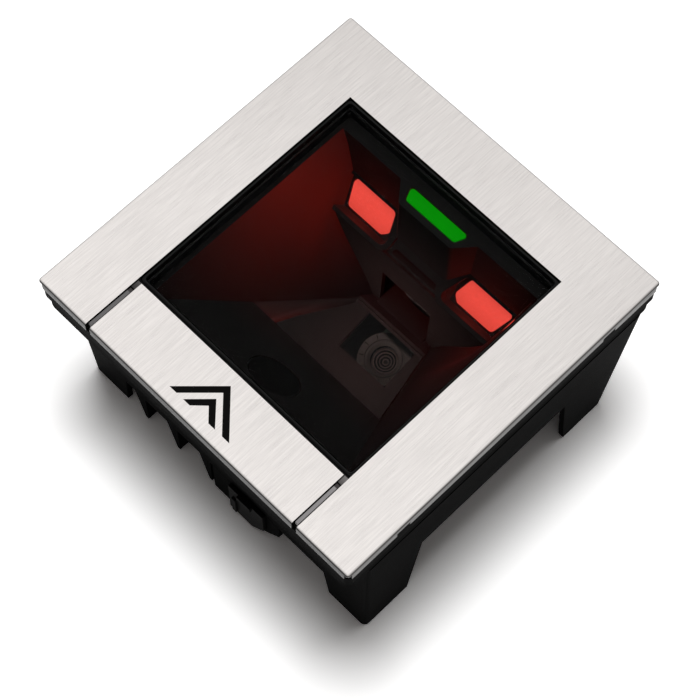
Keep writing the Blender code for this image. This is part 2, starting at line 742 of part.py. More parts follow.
def over_recess(down, lift):
    """Across and up: the place this far down the light recess's slope and this high over it."""
    slope = Vector(hood_down()).normalized()
    across = HOOD_TOP[0] + slope.x * down + slope.y * lift
    return (across, level(HOOD_TOP[1]) + slope.y * down - slope.x * lift)


def lip_over_recess():
    """How far down the recess's slope its lip lies, and how high over it."""
    slope = Vector(hood_down()).normalized()
    offset = Vector((HOOD_LIP[0] - HOOD_TOP[0], HOOD_TOP[1] - HOOD_LIP[1]))
    return offset.dot(slope), offset.dot(Vector((slope.y, -slope.x)))


def mirrored(outline, x):
    """The outline as it is on the right, turned over for the left."""
    return outline if x > 0 else [(-a, s) for a, s in outline[::-1]]


def light_tray(x):
    """Wall around a light window: low along the top, rising to the lip, with a round inner corner."""
    foot = math.dist(HOOD_TOP, HOOD_FOOT)
    lip_down, lip_lift = lip_over_recess()
    far = WINDOW_HALF
    near = TRAY_LOW_INNER - TRAY_WALL
    top = -TRAY_GAP - TRAY_WALL
    block = mirrored([(near, top), (far, top), (far, lip_down + FIT / 2), (near, lip_down + FIT / 2)], x)
    high = 2 * lip_lift
    body = tilted("tub_tray", rounded(block, TRAY_CORNER + TRAY_WALL), HOOD_TOP, hood_down(), -TUB_WALL, high)
    above = [over_recess(top - FIT, TRAY_TOP_RISE), over_recess(foot, lip_lift + TRAY_LIP_RISE),
             over_recess(2 * foot, 2 * lip_lift + TRAY_LIP_RISE), over_recess(2 * foot, 3 * high),
             over_recess(top - FIT, 3 * high)]
    cut(body, prism("tray_top", above, -2 * far, 2 * far, along="X"))
    open_side = 2 * far
    inner = mirrored([(TRAY_TOP_INNER, -TRAY_GAP), (open_side, -TRAY_GAP), (open_side, foot),
                      (TRAY_LOW_INNER, foot)], x)
    low = -2 * TUB_WALL
    return cut(body, tilted("tray_hollow", rounded(inner, TRAY_CORNER), HOOD_TOP, hood_down(), low, 2 * high))


def ear_seat():
    """Height of the ears' underside, where the heads of the tub screws lie."""
    return level(LEDGE_DEPTH + FIT + TUB_WALL)


def tub_ear(x, y):
    """Ear on the flange's side under a bezel boss, with its screw hole."""
    centre, middle = ear_place(x, y)
    sides = sorted((x * WINDOW_HALF, centre))
    low = ear_seat()
    high = low + TUB_WALL
    body = prism("tub_ear", rectangle(*sides, middle - EAR_RADIUS, middle + EAR_RADIUS), low, high)
    profile = [(0, low), (EAR_RADIUS, low), (EAR_RADIUS, high), (0, high)]
    unite(body, turned("tub_ear_end", profile, (centre, middle, 0), steps=FASTENER_STEPS))
    radius = SMALL_SCREW_RADIUS + FIT
    hole = [(0, low - TUB_WALL), (radius, low - TUB_WALL), (radius, high + TUB_WALL), (0, high + TUB_WALL)]
    return cut(body, turned("tub_ear_hole", hole, (centre, middle, 0), steps=SMALL_STEPS))


def port_foot():
    """Height of the camera port's lower edge, a wall thickness over the funnel's floor."""
    return level(slope_depth(WALL_FOOT[0]) - TUB_WALL)


def tub_openings():
    """What is left open in the tub: mirror seat, camera port, light, indicator and sensor holes."""
    seat = grown(mirror_outline(), FIT)
    port = rectangle(-PORT_HALF, PORT_HALF, port_foot(), level(PORT_TOP_DEPTH))
    indicator = rounded(grown(green_outline(), FIT), GREEN_CORNER)
    sensor = circle(SENSOR_RADIUS + FIT, (0, -SENSOR_REACH))
    found = [
        tilted("tub_mirror_seat", seat, MIRROR_FRONT, mirror_down(), -MIRROR_THICKNESS - FIT, TUB_WALL),
        prism("tub_camera_port", port, HOOD_LIP[0] - 2 * TUB_WALL, WALL_FOOT[0] + 3 * TUB_WALL, along="Y"),
        prism("tub_indicator_hole", indicator, level(LEDGE_DEPTH + 2 * TUB_WALL), HEIGHT),
        tilted("tub_sensor_hole", sensor, MIRROR_FRONT, slope_down(), -3 * TUB_WALL, TUB_WALL),
    ]
    for x in (-1, 1):
        light = rounded(grown(red_outline(x), FIT), RED_CORNER)
        found.append(tilted("tub_light_hole", light, HOOD_TOP, hood_down(), -2 * TUB_WALL, TUB_WALL))
    return found


def fold_mirror(surface):
    return tilted("fold_mirror", mirror_outline(), MIRROR_FRONT, mirror_down(), -MIRROR_THICKNESS, 0, surface)


def mirror_clip(surface):
    """Wide bar that holds the mirror's lower edge down, with a tongue through the port under the lens."""
    high = FIT + CLIP_RISE
    length = mirror_outline()[2][1]
    reach = WALL_FOOT[0] - FIT - high * math.sin(MIRROR_TILT) - MIRROR_FRONT[0]
    ends = (length - CLIP_OVERLAP, reach / math.cos(MIRROR_TILT))
    lean = math.sin(MIRROR_TILT) * math.tan(SIDE_LEAN)
    wide, narrow = [mirror_outline()[1][0] - down * lean for down in ends]
    bar = [(-wide, ends[0]), (wide, ends[0]), (narrow, ends[1]), (-narrow, ends[1])]
    body = tilted("mirror_clip", bar, MIRROR_FRONT, mirror_down(), FIT, high, surface)
    half = PORT_HALF - FIT
    back = LENS_FACE + HOLDER_SET_BACK + HOLDER_THICKNESS - 2 * FIT
    tongue = rectangle(-half, half, WALL_FOOT[0] - TUB_WALL, back)
    low = port_foot() + FIT
    return unite(body, prism("clip_tongue", tongue, low, low + CLIP_RISE))


def light_window(name, x, surface):
    outline = rounded(red_outline(x), RED_CORNER)
    return tilted(name, outline, HOOD_TOP, hood_down(), -RED_THICKNESS, 0, surface)


def light_board(name, x, surface):
    """Board with three lamps behind a light window."""
    outline = mirrored(rectangle(RED_INNER - RED_TAPER, RED_OUTER, -FIT, RED_LENGTH + FIT), x)
    top = -TUB_WALL - FIT
    body = tilted(name, outline, HOOD_TOP, hood_down(), top - BOARD_THICKNESS, top, surface)
    half = LAMP_SIZE / 2
    for place in (-1, 0, 1):
        centre = x * (RED_INNER + RED_OUTER - RED_TAPER) / 2 + place * LAMP_SPACING
        lamp = rectangle(centre - half, centre + half, RED_LENGTH / 2 - half, RED_LENGTH / 2 + half)
        low = top - BOARD_THICKNESS / 2
        unite(body, tilted(name + "_lamp", lamp, HOOD_TOP, hood_down(), low, top + LAMP_HEIGHT))
    return body


def indicator_window(surface):
    outline = rounded(green_outline(), GREEN_CORNER)
    return prism("indicator_window", outline, level(LEDGE_DEPTH + RED_THICKNESS), level(LEDGE_DEPTH), surface)


def indicator_board(surface):
    """Board with its lamps under the indicator window."""
    half = NOSE_HALF - TUB_WALL - NOSE_ROUND
    front = NOSE_FRONT + TUB_WALL + 2 * FIT
    top = level(LEDGE_DEPTH + TUB_WALL + FIT)
    body = prism("indicator_board", rectangle(-half, half, front, WINDOW_HALF - BACK_LEDGE + TUB_WALL),
                 top - BOARD_THICKNESS, top, surface)
    size = LAMP_SIZE / 2
    middle = GREEN_BACK - GREEN_WIDTH / 2
    for centre in (-LAMP_SPACING, 0, LAMP_SPACING):
        lamp = rectangle(centre - size, centre + size, middle - size, middle + size)
        unite(body, prism("indicator_lamp", lamp, top - BOARD_THICKNESS / 2, top + LAMP_HEIGHT))
    return body


def sensor_window(surface):
    disc = circle(SENSOR_RADIUS, (0, -SENSOR_REACH))
    return tilted("sensor_window", disc, MIRROR_FRONT, slope_down(), -TUB_WALL, -FIT / 2, surface)


def sensor_board(surface):
    half = SENSOR_RADIUS
    drop = TUB_WALL * math.cos(FRONT_SLOPE) / math.cos(MIRROR_TILT) + FIT
    low = -drop - BOARD_THICKNESS
    outline = rectangle(-half, half, -SENSOR_REACH - half / 2, -SENSOR_REACH + half / 2)
    return tilted("sensor_board", outline, MIRROR_FRONT, slope_down(), low, -drop, surface)


def lens_axis():
    return (LENS_OFFSET, LENS_FACE, level(LENS_DEPTH))


def lens_barrel(surface):
    """Stepped barrel with a wide grooved rim, a neck inside the holder and a seat for the glass."""
    rim_back = FIT - HOLDER_SET_BACK
    middle = -BARREL_LENGTH / 2
    bore = LENS_RADIUS + FIT
    seat = LENS_RADIUS - 3 * FIT
    outside = GROOVE_RADIUS + GROOVE_SIZE
    profile = [
        (BARREL_NECK, 0), (GROOVE_RADIUS, 0), (GROOVE_RADIUS, -GROOVE_SIZE), (outside, -GROOVE_SIZE),
        (outside, 0), (BARREL_RADIUS, 0), (BARREL_RADIUS, rim_back), (BARREL_NECK, rim_back),
        (BARREL_NECK, -BARREL_LENGTH), (seat, -BARREL_LENGTH), (seat, middle), (bore, middle),
        (bore, -BARREL_LENGTH / 5),
    ]
    return turned("lens_barrel", profile, lens_axis(), surface, "Y")


def lens_glass(surface):
    """Domed front lens resting on the barrel's seat."""
    back = -BARREL_LENGTH / 2 + FIT
    front = back + LENS_RADIUS / 3
    angles = [math.radians(LENS_BULGE * k / ROUND_STEPS) for k in range(ROUND_STEPS + 1)]
    swell = LENS_RADIUS / math.sin(angles[-1])
    dome = [(swell * math.sin(a), front - swell * (1 - math.cos(a))) for a in angles]
    profile = [(0, back), (LENS_RADIUS, back)] + dome[::-1]
    return turned("lens_glass", profile, lens_axis(), surface, "Y")


def lens_holder(surface):
    """Square holder with cut corners, bored for the barrel's neck."""
    x, y, z = lens_axis()
    front = y + HOLDER_SET_BACK
    outline = rectangle(x - HOLDER_HALF, x + HOLDER_HALF, z - HOLDER_HALF, z + HOLDER_HALF)
    cut_corners = rounded(outline, HOLDER_HALF / 3, 1)
    body = prism("lens_holder", cut_corners, front, front + HOLDER_THICKNESS, surface, "Y")
    bore = BARREL_NECK + FIT
    reach = 2 * HOLDER_THICKNESS
    profile = [(0, reach), (bore, reach), (bore, -reach), (0, -reach)]
    return cut(body, turned("holder_bore", profile, (x, front, z), along="Y"))


def image_board(surface):
    """Board with the image sensor, closing the holder from behind."""
    x, y, z = lens_axis()
    front = y + HOLDER_SET_BACK + HOLDER_THICKNESS + FIT
    side = HOLDER_HALF + BOARD_MARGIN
    outline = rectangle(x - side, x + side, z - side, z + side)
    return prism("image_board", outline, front, front + BOARD_THICKNESS, surface, "Y")


def camera_bracket(surface):
    """Sheet angle: an upright behind the image board and a foot on the sump's floor."""
    half = HOLDER_HALF + BOARD_MARGIN
    front = LENS_FACE + HOLDER_SET_BACK + HOLDER_THICKNESS + BOARD_THICKNESS + 2 * FIT
    top = level(LENS_DEPTH) + half
    floor = level(SUMP_DEPTH - HOUSING_WALL) + FIT
    back = SUMP_BACK - 2 * TUB_WALL
    outline = [(front, top), (front, floor), (back, floor), (back, floor + BRACKET_SHEET),
               (front + BRACKET_SHEET, floor + BRACKET_SHEET), (front + BRACKET_SHEET, top)]
    return prism("camera_bracket", outline, LENS_OFFSET - half, LENS_OFFSET + half, surface, "X")


def wall_outline(z, inset, corner):
    """The housing's tapered outline at one height."""
    x = BASE_HALF_X + SIDE_DRAFT * z - inset
    front = -(BASE_FRONT + FRONT_DRAFT * z) + inset
    back = BASE_BACK + BACK_DRAFT * z - inset
    return [(a, b, z) for a, b in rounded(rectangle(-x, x, front, back), corner)]


def tapered(name, low, high, inset, corner, surface=None):
    return loft(name, [wall_outline(low, inset, corner), wall_outline(high, inset, corner)], surface)


def housing(surface):
    """Moulded lower housing: rim, drafted walls, side decks, well, sump, four legs, ribs and cable block."""
    wall = HOUSING_WALL
    body = tapered("housing", 0, level(RIM_DEPTH) + FIT, 0, CORNER_ROUND, surface)
    rim = HALF - RIM_INSET
    outline = rounded(rectangle(-rim, rim, -rim, rim), RIM_ROUND)
    unite(body, prism("housing_rim", outline, level(RIM_DEPTH), level(BEZEL_DEPTH + FIT)))
    inner_rim = rim - wall
    open_rim = rounded(rectangle(-inner_rim, inner_rim, -inner_rim, inner_rim), RIM_ROUND - wall / 2)
    cut(body, prism("housing_mouth", open_rim, level(RIM_DEPTH - wall), HEIGHT))
    cut(body, tapered("housing_bay", level(SIDE_EDGE_DEPTH - wall), HEIGHT, wall, CORNER_ROUND / 2))
    for tool in inner_cavities(wall):
        cut(body, tool)
    under = tapered("housing_under", -wall, level(SIDE_EDGE_DEPTH), wall, CORNER_ROUND / 2)
    for tool in inner_cavities(0):
        cut(under, tool)
    cut(body, under)
    for x in (-1, 1):
        cut(body, side_opening(x))
    cut(body, end_opening("front_opening", FRONT_EDGE_DEPTH, -TOP_SIZE, -BASE_FRONT + 2 * HOUSING_WALL))
    cut(body, end_opening("back_opening", SIDE_EDGE_DEPTH, SUMP_BACK + 2 * HOUSING_WALL - FIT, TOP_SIZE))
    for number in range(RIB_COUNT):
        unite(body, front_rib(FIRST_RIB + number * RIB_SPACING))
    unite(body, cable_block())
    cut(body, cable_block_hollow())
    for x in (-1, 1):
        for y in (-1, 1):
            unite(body, screw_post(x, y))
            cut(body, screw_post_hole(x, y))
        unite(body, cover_screw_post(x))
    cut(body, sump_opening())
    for x in (-1, 1):
        cut(body, cover_screw_hole(x, 0, level(SUMP_DEPTH - HOUSING_WALL) + SMALL_SCREW_LENGTH))
    for x in (-1, 1):
        for y in (-1, 1):
            unite(body, board_post(x, y))
            cut(body, board_post_hole(x, y))
    return body


def well_front():
    """Outer face of the front wall at the well's floor."""
    return -(BASE_FRONT + FRONT_DRAFT * level(WELL_DEPTH))


def inner_cavities(wall):
    """The well over the whole length and the deeper sump, or their outsides when no wall is taken off."""
    side = WELL_HALF - wall
    well = rectangle(-side, side, well_front() + wall, SUMP_BACK + HOUSING_WALL - wall)
    top = level(SIDE_EDGE_DEPTH - 2 * HOUSING_WALL)
    kind = "hollow" if wall else "body"
    sump_side = SUMP_HALF - wall
    sump = rectangle(-sump_side, sump_side, -SUMP_FRONT + wall, SUMP_BACK + HOUSING_WALL - wall)
    return [
        prism("well_" + kind, rounded(well, CORNER_ROUND), level(WELL_DEPTH - wall), top),
        prism("sump_" + kind, rounded(sump, CORNER_ROUND), level(SUMP_DEPTH - wall), top),
    ]


def side_opening(x):
    """The gap between the legs under a side wall, wider towards the rest plane."""
    high = level(SIDE_EDGE_DEPTH)
    low = -CORNER_ROUND
    front = -BASE_FRONT + LEG_LENGTH_FRONT
    back = BASE_BACK - LEG_LENGTH_BACK
    outline = [
        (front + LEG_FLARE * low / high, low), (back - LEG_FLARE_BACK * low / high, low),
        (back - LEG_FLARE_BACK, high), (front + LEG_FLARE, high),
    ]
    sides = sorted((x * (BASE_HALF_X - 3 * HOUSING_WALL), x * TOP_SIZE))
    return prism("side_opening", outline, *sides, along="X")


def end_opening(name, edge_depth, near, far):
    """The gap between the legs under the front or back wall."""
    high = level(edge_depth)
    side = BASE_HALF_X - LEG_WIDTH
    lean = LEG_FLARE * high / level(SIDE_EDGE_DEPTH)
    outline = [(-side, -CORNER_ROUND), (side, -CORNER_ROUND), (side - lean, high), (-side + lean, high)]
    return prism(name, outline, near, far, along="Y")


def front_rib(place):
    """A wedge rib under the front wall, with one sloping side."""
    root = level(FRONT_EDGE_DEPTH) + HOUSING_WALL / 2
    half = RIB_TIP / 2
    right = place + half
    outline = [(place - half, 0), (right, 0), (right + FIT, root), (right - RIB_ROOT, root)]
    front = -BASE_FRONT - FIT
    return prism("front_rib", outline, front, front + RIB_REACH, along="Y")


def block_outline(inset):
    """Face of the cable block: square on the left, chamfered on the right."""
    top = level(FRONT_EDGE_DEPTH) + HOUSING_WALL / 2
    far = BLOCK_RIGHT + BLOCK_CHAMFER
    outline = [(-BLOCK_LEFT, 0), (BLOCK_RIGHT, 0), (far, BLOCK_SHOULDER), (far, top), (-BLOCK_LEFT, top)]
    return grown(outline, -inset)


def cable_block():
    front = block_front()
    return prism("cable_block", block_outline(0), front, front + BLOCK_REACH, along="Y")


def block_front():
    """Front face of the cable block, level with the wall at the cover's top."""
    return -BASE_FRONT - FRONT_DRAFT * (level(FRONT_EDGE_DEPTH) + COVER_RISE)


def cable_block_hollow():
    """Space for the plug inside the block, open downwards."""
    front = block_front() + COVER_THICKNESS + BLOCK_WALL
    side = SOCKET_WIDTH / 2 + 2 * FIT
    centre = socket_place()[0]
    outline = rectangle(centre - side, centre + side, -HOUSING_WALL, level(WELL_DEPTH - 2 * HOUSING_WALL))
    back = front + BLOCK_REACH - 2 * BLOCK_WALL - COVER_THICKNESS
    return prism("cable_block_hollow", outline, front, back, along="Y")


def socket_place():
    x = (BLOCK_RIGHT - BLOCK_LEFT) / 2
    y = block_front() + COVER_THICKNESS + BLOCK_WALL + 2 * FIT + SOCKET_LENGTH / 2
    return x, y


def interface_socket(surface):
    """Socket on the underside of the main board, its mouth facing down into the block."""
    x, y = socket_place()
    wide = SOCKET_WIDTH / 2
    long = SOCKET_LENGTH / 2
    top = level(MAIN_BOARD_DEPTH + BOARD_THICKNESS + FIT)
    outline = rectangle(x - wide, x + wide, y - long, y + long)
    body = prism("interface_socket", outline, top - SOCKET_HEIGHT, top, surface)
    mouth = grown(outline, -SOCKET_WIDTH / 9)
    return cut(body, prism("socket_mouth", mouth, top - 2 * SOCKET_HEIGHT, top - SOCKET_HEIGHT / 3))


def cover_outline():
    """Face of the cover: square at the top, following the block's chamfer at the bottom right."""
    top = level(FRONT_EDGE_DEPTH) + COVER_RISE
    low = COVER_MARGIN
    reach = COVER_RIGHT - BLOCK_RIGHT + COVER_MARGIN
    rise = reach * BLOCK_SHOULDER / BLOCK_CHAMFER
    return [(COVER_LEFT, low), (COVER_RIGHT - reach, low), (COVER_RIGHT, low + rise), (COVER_RIGHT, top),
            (COVER_LEFT, top)]


def cable_cover(surface):
    """Plate on the front of the cable block with a finger tab at its top and a raised latch bar."""
    back = block_front() - FIT
    front = back - COVER_THICKNESS
    body = prism("cable_cover", cover_outline(), front, back, surface, "Y")
    top = level(FRONT_EDGE_DEPTH) + COVER_RISE
    middle = (COVER_LEFT + COVER_RIGHT) / 2
    root = back - COVER_THICKNESS / 2
    half = TAB_WIDTH / 2
    tab = rectangle(middle - half, middle + half, top - 2 * TAB_HEIGHT, top + TAB_HEIGHT / 2)
    unite(body, prism("cover_tab", tab, front - TAB_HEIGHT, root, along="Y"))
    low = 2 * COVER_MARGIN
    left = COVER_LEFT + COVER_MARGIN
    latch = rectangle(left, left + LATCH_WIDTH, low, low + LATCH_LENGTH)
    return unite(body, prism("cover_latch", latch, front - LATCH_HEIGHT, root, along="Y"))


def screw_post(x, y):
    """Post inside a housing corner, under a bezel boss."""
    low = level(SIDE_EDGE_DEPTH - HOUSING_WALL / 2)
    high = level(BEZEL_DEPTH + FIT)
    profile = [(0, low), (POST_RADIUS, low), (POST_RADIUS, high), (0, high)]
    return turned("screw_post", profile, (*boss_place(x, y), 0), steps=FASTENER_STEPS)


def screw_seat():
    """Height of the shoulder that a case screw's head pulls against."""
    return level(BEZEL_DEPTH + FIT) - SCREW_LENGTH / 2


def screw_post_hole(x, y):
    """Hole through a post: wide for the head from the deck up to the shoulder, narrow above it."""
    low = level(SIDE_EDGE_DEPTH) - HOUSING_WALL
    wide = SCREW_HEAD + FIT
    narrow = SCREW_RADIUS + FIT
    seat = screw_seat()
    profile = [(0, low), (wide, low), (wide, seat), (narrow, seat), (narrow, HEIGHT), (0, HEIGHT)]
    return turned("screw_post_hole", profile, (*boss_place(x, y), 0), steps=FASTENER_STEPS)


def sump_opening():
    """Service opening in the sump's floor, stepped for its cover."""
    side = SUMP_HALF - 2 * HOUSING_WALL
    front = -SUMP_FRONT + 2 * HOUSING_WALL
    back = SUMP_FRONT / 2
    outline = rounded(rectangle(-side, side, front, back), CORNER_ROUND)
    return prism("sump_opening", outline, 0, level(SUMP_DEPTH - 2 * HOUSING_WALL))


def screw_profile(radius, head, head_height, length):
    """Half section of a round-headed screw that stands on its head."""
    angles = [math.radians(90 * (1 - k / ROUND_STEPS)) for k in range(ROUND_STEPS + 1)]
    dome = [(head * math.cos(a), head_height / 2 * (1 - math.sin(a))) for a in angles]
    return [(0, 0)] + dome[1:] + [
        (head, head_height), (radius, head_height), (radius, head_height + length), (0, head_height + length)]


def case_screw(name, place, surface):
    profile = screw_profile(SCREW_RADIUS, SCREW_HEAD, HEAD_HEIGHT, SCREW_LENGTH)
    low = screw_seat() - HEAD_HEIGHT - FIT
    return turned(name, profile, (*place, low), surface, steps=FASTENER_STEPS)


def small_screw(name, place, seat, surface, downwards=False):
    """Small screw whose head lies under the seat, or on it when its shank points down."""
    profile = screw_profile(SMALL_SCREW_RADIUS, SMALL_SCREW_HEAD, SMALL_HEAD_HEIGHT, SMALL_SCREW_LENGTH)
    if downwards:
        top = SMALL_HEAD_HEIGHT + FIT
        return turned(name, [(r, top - h) for r, h in profile], (*place, seat), surface, steps=SMALL_STEPS)
    return turned(name, profile, (*place, seat - SMALL_HEAD_HEIGHT - FIT), surface, steps=SMALL_STEPS)


def all_screws(surface):
    """Case, tub, board and cover screws, each named for its place."""
    cover_side, cover_middle = cover_screw_place()
    for x, side in ((-1, "left"), (1, "right")):
        for y, end in ((-1, "front"), (1, "back")):
            place = end + "_" + side
            case_screw("case_screw_" + place, boss_place(x, y), surface)
            small_screw("tub_screw_" + place, ear_place(x, y), ear_seat(), surface)
            seat = level(MAIN_BOARD_DEPTH)
            small_screw("board_screw_" + place, board_post_place(x, y), seat, surface, True)
        seat = level(SUMP_DEPTH) - FIT - BASE_COVER
        small_screw("cover_screw_" + side, (x * cover_side, cover_middle), seat, surface)


def base_cover(surface):
    """Plate that closes the service opening from below, with two screw holes."""
    side = SUMP_HALF - HOUSING_WALL
    front = -SUMP_FRONT + HOUSING_WALL
    back = SUMP_FRONT / 2 + HOUSING_WALL
    outline = rounded(rectangle(-side, side, front, back), CORNER_ROUND)
    top = level(SUMP_DEPTH) - FIT
    body = prism("base_cover", outline, top - BASE_COVER, top, surface)
    for x in (-1, 1):
        cut(body, cover_screw_hole(x, 0, HEIGHT / 2))
    return body


def cover_screw_place():
    """Sideways and lengthwise place of the cover screws, over the rim of the service opening."""
    return SUMP_HALF - 3 / 2 * HOUSING_WALL - FIT, -SUMP_FRONT / 4 + HOUSING_WALL / 2


def cover_screw_hole(x, low, high):
    side, middle = cover_screw_place()
    radius = SMALL_SCREW_RADIUS + FIT
    profile = [(0, low), (radius, low), (radius, high), (0, high)]
    return turned("cover_screw_hole", profile, (x * side, middle, 0), steps=SMALL_STEPS)


def cover_screw_post(x):
    """Short post inside the sump that takes a cover screw."""
    side, middle = cover_screw_place()
    low = level(SUMP_DEPTH - HOUSING_WALL / 2)
    high = level(SUMP_DEPTH - HOUSING_WALL) + SMALL_SCREW_LENGTH / 2
    radius = SMALL_SCREW_HEAD
    profile = [(0, low), (radius, low), (radius, high), (0, high)]
    return turned("cover_screw_post", profile, (x * side, middle, 0), steps=FASTENER_STEPS)


def main_board(surface):
    """Decoder board in the well with its processor, memories and power coil."""
    front = well_front() + HOUSING_WALL + 3 * FIT
    top = level(MAIN_BOARD_DEPTH)
    outline = rectangle(-MAIN_BOARD_HALF, MAIN_BOARD_HALF, front, -MAIN_BOARD_BACK)
    body = prism("main_board", outline, top - BOARD_THICKNESS, top, surface)
    middle = (front - MAIN_BOARD_BACK) / 2
    spacing = MAIN_BOARD_HALF / 2
    for number, (width, length, height) in enumerate((PROCESSOR, MEMORY, MEMORY, POWER_COIL)):
        x = spacing * (number - 3 / 2) * 3 / 4
        chip = rectangle(x - width / 2, x + width / 2, middle - length / 2, middle + length / 2)
        unite(body, prism("board_chip", chip, top - BOARD_THICKNESS / 2, top + height))
    for x in (-1, 1):
        for y in (-1, 1):
            cut(body, board_post_hole(x, y))
    return body


def board_post_place(x, y):
    front = well_front() + HOUSING_WALL + 2 * STANDOFF_RADIUS
    back = -MAIN_BOARD_BACK - STANDOFF_RADIUS
    return x * (MAIN_BOARD_HALF - STANDOFF_RADIUS), front if y < 0 else back


def board_post(x, y):
    """Standoff under a corner of the main board."""
    low = level(WELL_DEPTH - HOUSING_WALL / 2)
    high = level(MAIN_BOARD_DEPTH + BOARD_THICKNESS + FIT)
    profile = [(0, low), (STANDOFF_RADIUS, low), (STANDOFF_RADIUS, high), (0, high)]
    return turned("board_post", profile, (*board_post_place(x, y), 0), steps=FASTENER_STEPS)


def board_post_hole(x, y):
    radius = SMALL_SCREW_RADIUS + FIT
    low = level(MAIN_BOARD_DEPTH + BOARD_THICKNESS) - SMALL_SCREW_LENGTH
    high = level(MAIN_BOARD_DEPTH - BOARD_THICKNESS)
    profile = [(0, low), (radius, low), (radius, high), (0, high)]
    return turned("board_post_hole", profile, (*board_post_place(x, y), 0), steps=SMALL_STEPS)


def sounder(surface):
    """Round sounder on the right side deck, with its sound hole."""
    x = (WELL_HALF + BASE_HALF_X) / 2
    low = level(SIDE_EDGE_DEPTH - HOUSING_WALL) + FIT
    edge = SOUND_HOLE / 2
    profile = [
        (0, 0), (SOUNDER_RADIUS, 0), (SOUNDER_RADIUS, SOUNDER_HEIGHT - edge),
        (SOUNDER_RADIUS - edge, SOUNDER_HEIGHT), (SOUND_HOLE, SOUNDER_HEIGHT),
        (SOUND_HOLE, SOUNDER_HEIGHT / 2), (0, SOUNDER_HEIGHT / 2),
    ]
    return turned("sounder", profile, (x, 0, low), surface, steps=TURN_STEPS)


def build():
    clear_scene()
    surfaces = make_materials()
    top_frame(surfaces["steel"])
    front_plate(surfaces["steel"])
    bezel_frame(surfaces["grey"])
    light_strip("light_strip_left", -1, surfaces["strip"])
    light_strip("light_strip_right", 1, surfaces["strip"])
    window_gasket(surfaces["rubber"])
    window_glass(surfaces["glass"])
    optics_tub(surfaces["black"])
    fold_mirror(surfaces["mirror"])
    mirror_clip(surfaces["grey"])
    for x, side in ((-1, "left"), (1, "right")):
        light_window("light_window_" + side, x, surfaces["red"])
        light_board("light_board_" + side, x, surfaces["board"])
    indicator_window(surfaces["green"])
    indicator_board(surfaces["board"])
    sensor_window(surfaces["filter"])
    sensor_board(surfaces["board"])
    lens_barrel(surfaces["holder"])
    lens_glass(surfaces["lens"])
    lens_holder(surfaces["holder"])
    image_board(surfaces["board"])
    camera_bracket(surfaces["metal"])
    housing(surfaces["black"])
    main_board(surfaces["board"])
    interface_socket(surfaces["black"])
    cable_cover(surfaces["black"])
    sounder(surfaces["black"])
    base_cover(surfaces["black"])
    all_screws(surfaces["metal"])


build()
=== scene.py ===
import bpy
import bmesh
import math
from mathutils import Matrix, Vector


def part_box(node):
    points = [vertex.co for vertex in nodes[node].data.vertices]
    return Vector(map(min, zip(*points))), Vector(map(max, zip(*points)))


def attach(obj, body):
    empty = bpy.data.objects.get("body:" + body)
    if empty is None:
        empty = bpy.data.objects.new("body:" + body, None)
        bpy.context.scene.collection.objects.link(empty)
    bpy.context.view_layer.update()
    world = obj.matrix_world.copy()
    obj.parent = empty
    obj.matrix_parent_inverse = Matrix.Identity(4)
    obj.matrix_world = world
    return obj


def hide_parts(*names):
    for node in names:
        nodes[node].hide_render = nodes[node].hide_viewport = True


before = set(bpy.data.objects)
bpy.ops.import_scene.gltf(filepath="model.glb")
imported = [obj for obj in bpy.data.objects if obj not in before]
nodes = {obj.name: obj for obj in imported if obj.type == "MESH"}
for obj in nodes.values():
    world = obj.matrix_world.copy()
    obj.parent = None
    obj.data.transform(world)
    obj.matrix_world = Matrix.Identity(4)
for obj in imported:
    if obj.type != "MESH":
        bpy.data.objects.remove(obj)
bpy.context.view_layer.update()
print("frame loaded with", len(nodes), "nodes")

# small helpers for node trees


def feed(target, value):
    # joins another socket, or sets a value; a colour is three numbers, or one for a grey
    if isinstance(value, bpy.types.NodeSocket):
        target.id_data.links.new(value, target)
    elif target.type == "RGBA":
        target.default_value = (value, value, value, 1) if isinstance(value, float) else (*value, 1)
    else:
        target.default_value = value


def setInputs(node, **values):
    for name, value in values.items():
        feed(node.inputs[name.replace("_", " ")], value)


def putNode(tree, kind, **values):
    # a name with a capital is one of the node's inputs, any other is a setting
    node = tree.nodes.new(kind)
    for name, value in values.items():
        if name[0].isupper():
            setInputs(node, **{name: value})
        else:
            setattr(node, name, value)
    return node


def fedNode(tree, kind, values, **settings):
    # the values go into the inputs in their order
    node = putNode(tree, kind, **settings)
    for socket, value in zip(node.inputs, values):
        feed(socket, value)
    return node


def mathNode(tree, operation, *values):
    return fedNode(tree, "ShaderNodeMath", values, operation=operation).outputs[0]


def vectorNode(tree, operation, *values):
    node = fedNode(tree, "ShaderNodeVectorMath", values, operation=operation)
    return node.outputs["Value" if operation in ("DISTANCE", "DOT_PRODUCT", "LENGTH") else "Vector"]


def mixColour(tree, factor, first, second, blend="MIX"):
    node = putNode(tree, "ShaderNodeMix", data_type="RGBA", blend_type=blend)
    for index, value in ((0, factor), (6, first), (7, second)):  # the colour sockets of the node
        feed(node.inputs[index], value)
    return node.outputs[2]


def spread(tree, source, low, high):
    # stretches a narrow band of values over 0 to 1
    return putNode(tree, "ShaderNodeMapRange", Value=source, From_Min=low, From_Max=high).outputs[0]


def noise(tree, place, scale, detail=2.0, roughness=0.5):
    node = putNode(tree, "ShaderNodeTexNoise", Vector=place, Scale=scale, Detail=detail, Roughness=roughness)
    return node.outputs[0]


def cellsOf(tree, place, scale):
    return putNode(tree, "ShaderNodeTexVoronoi", Vector=place, Scale=scale).outputs["Distance"]


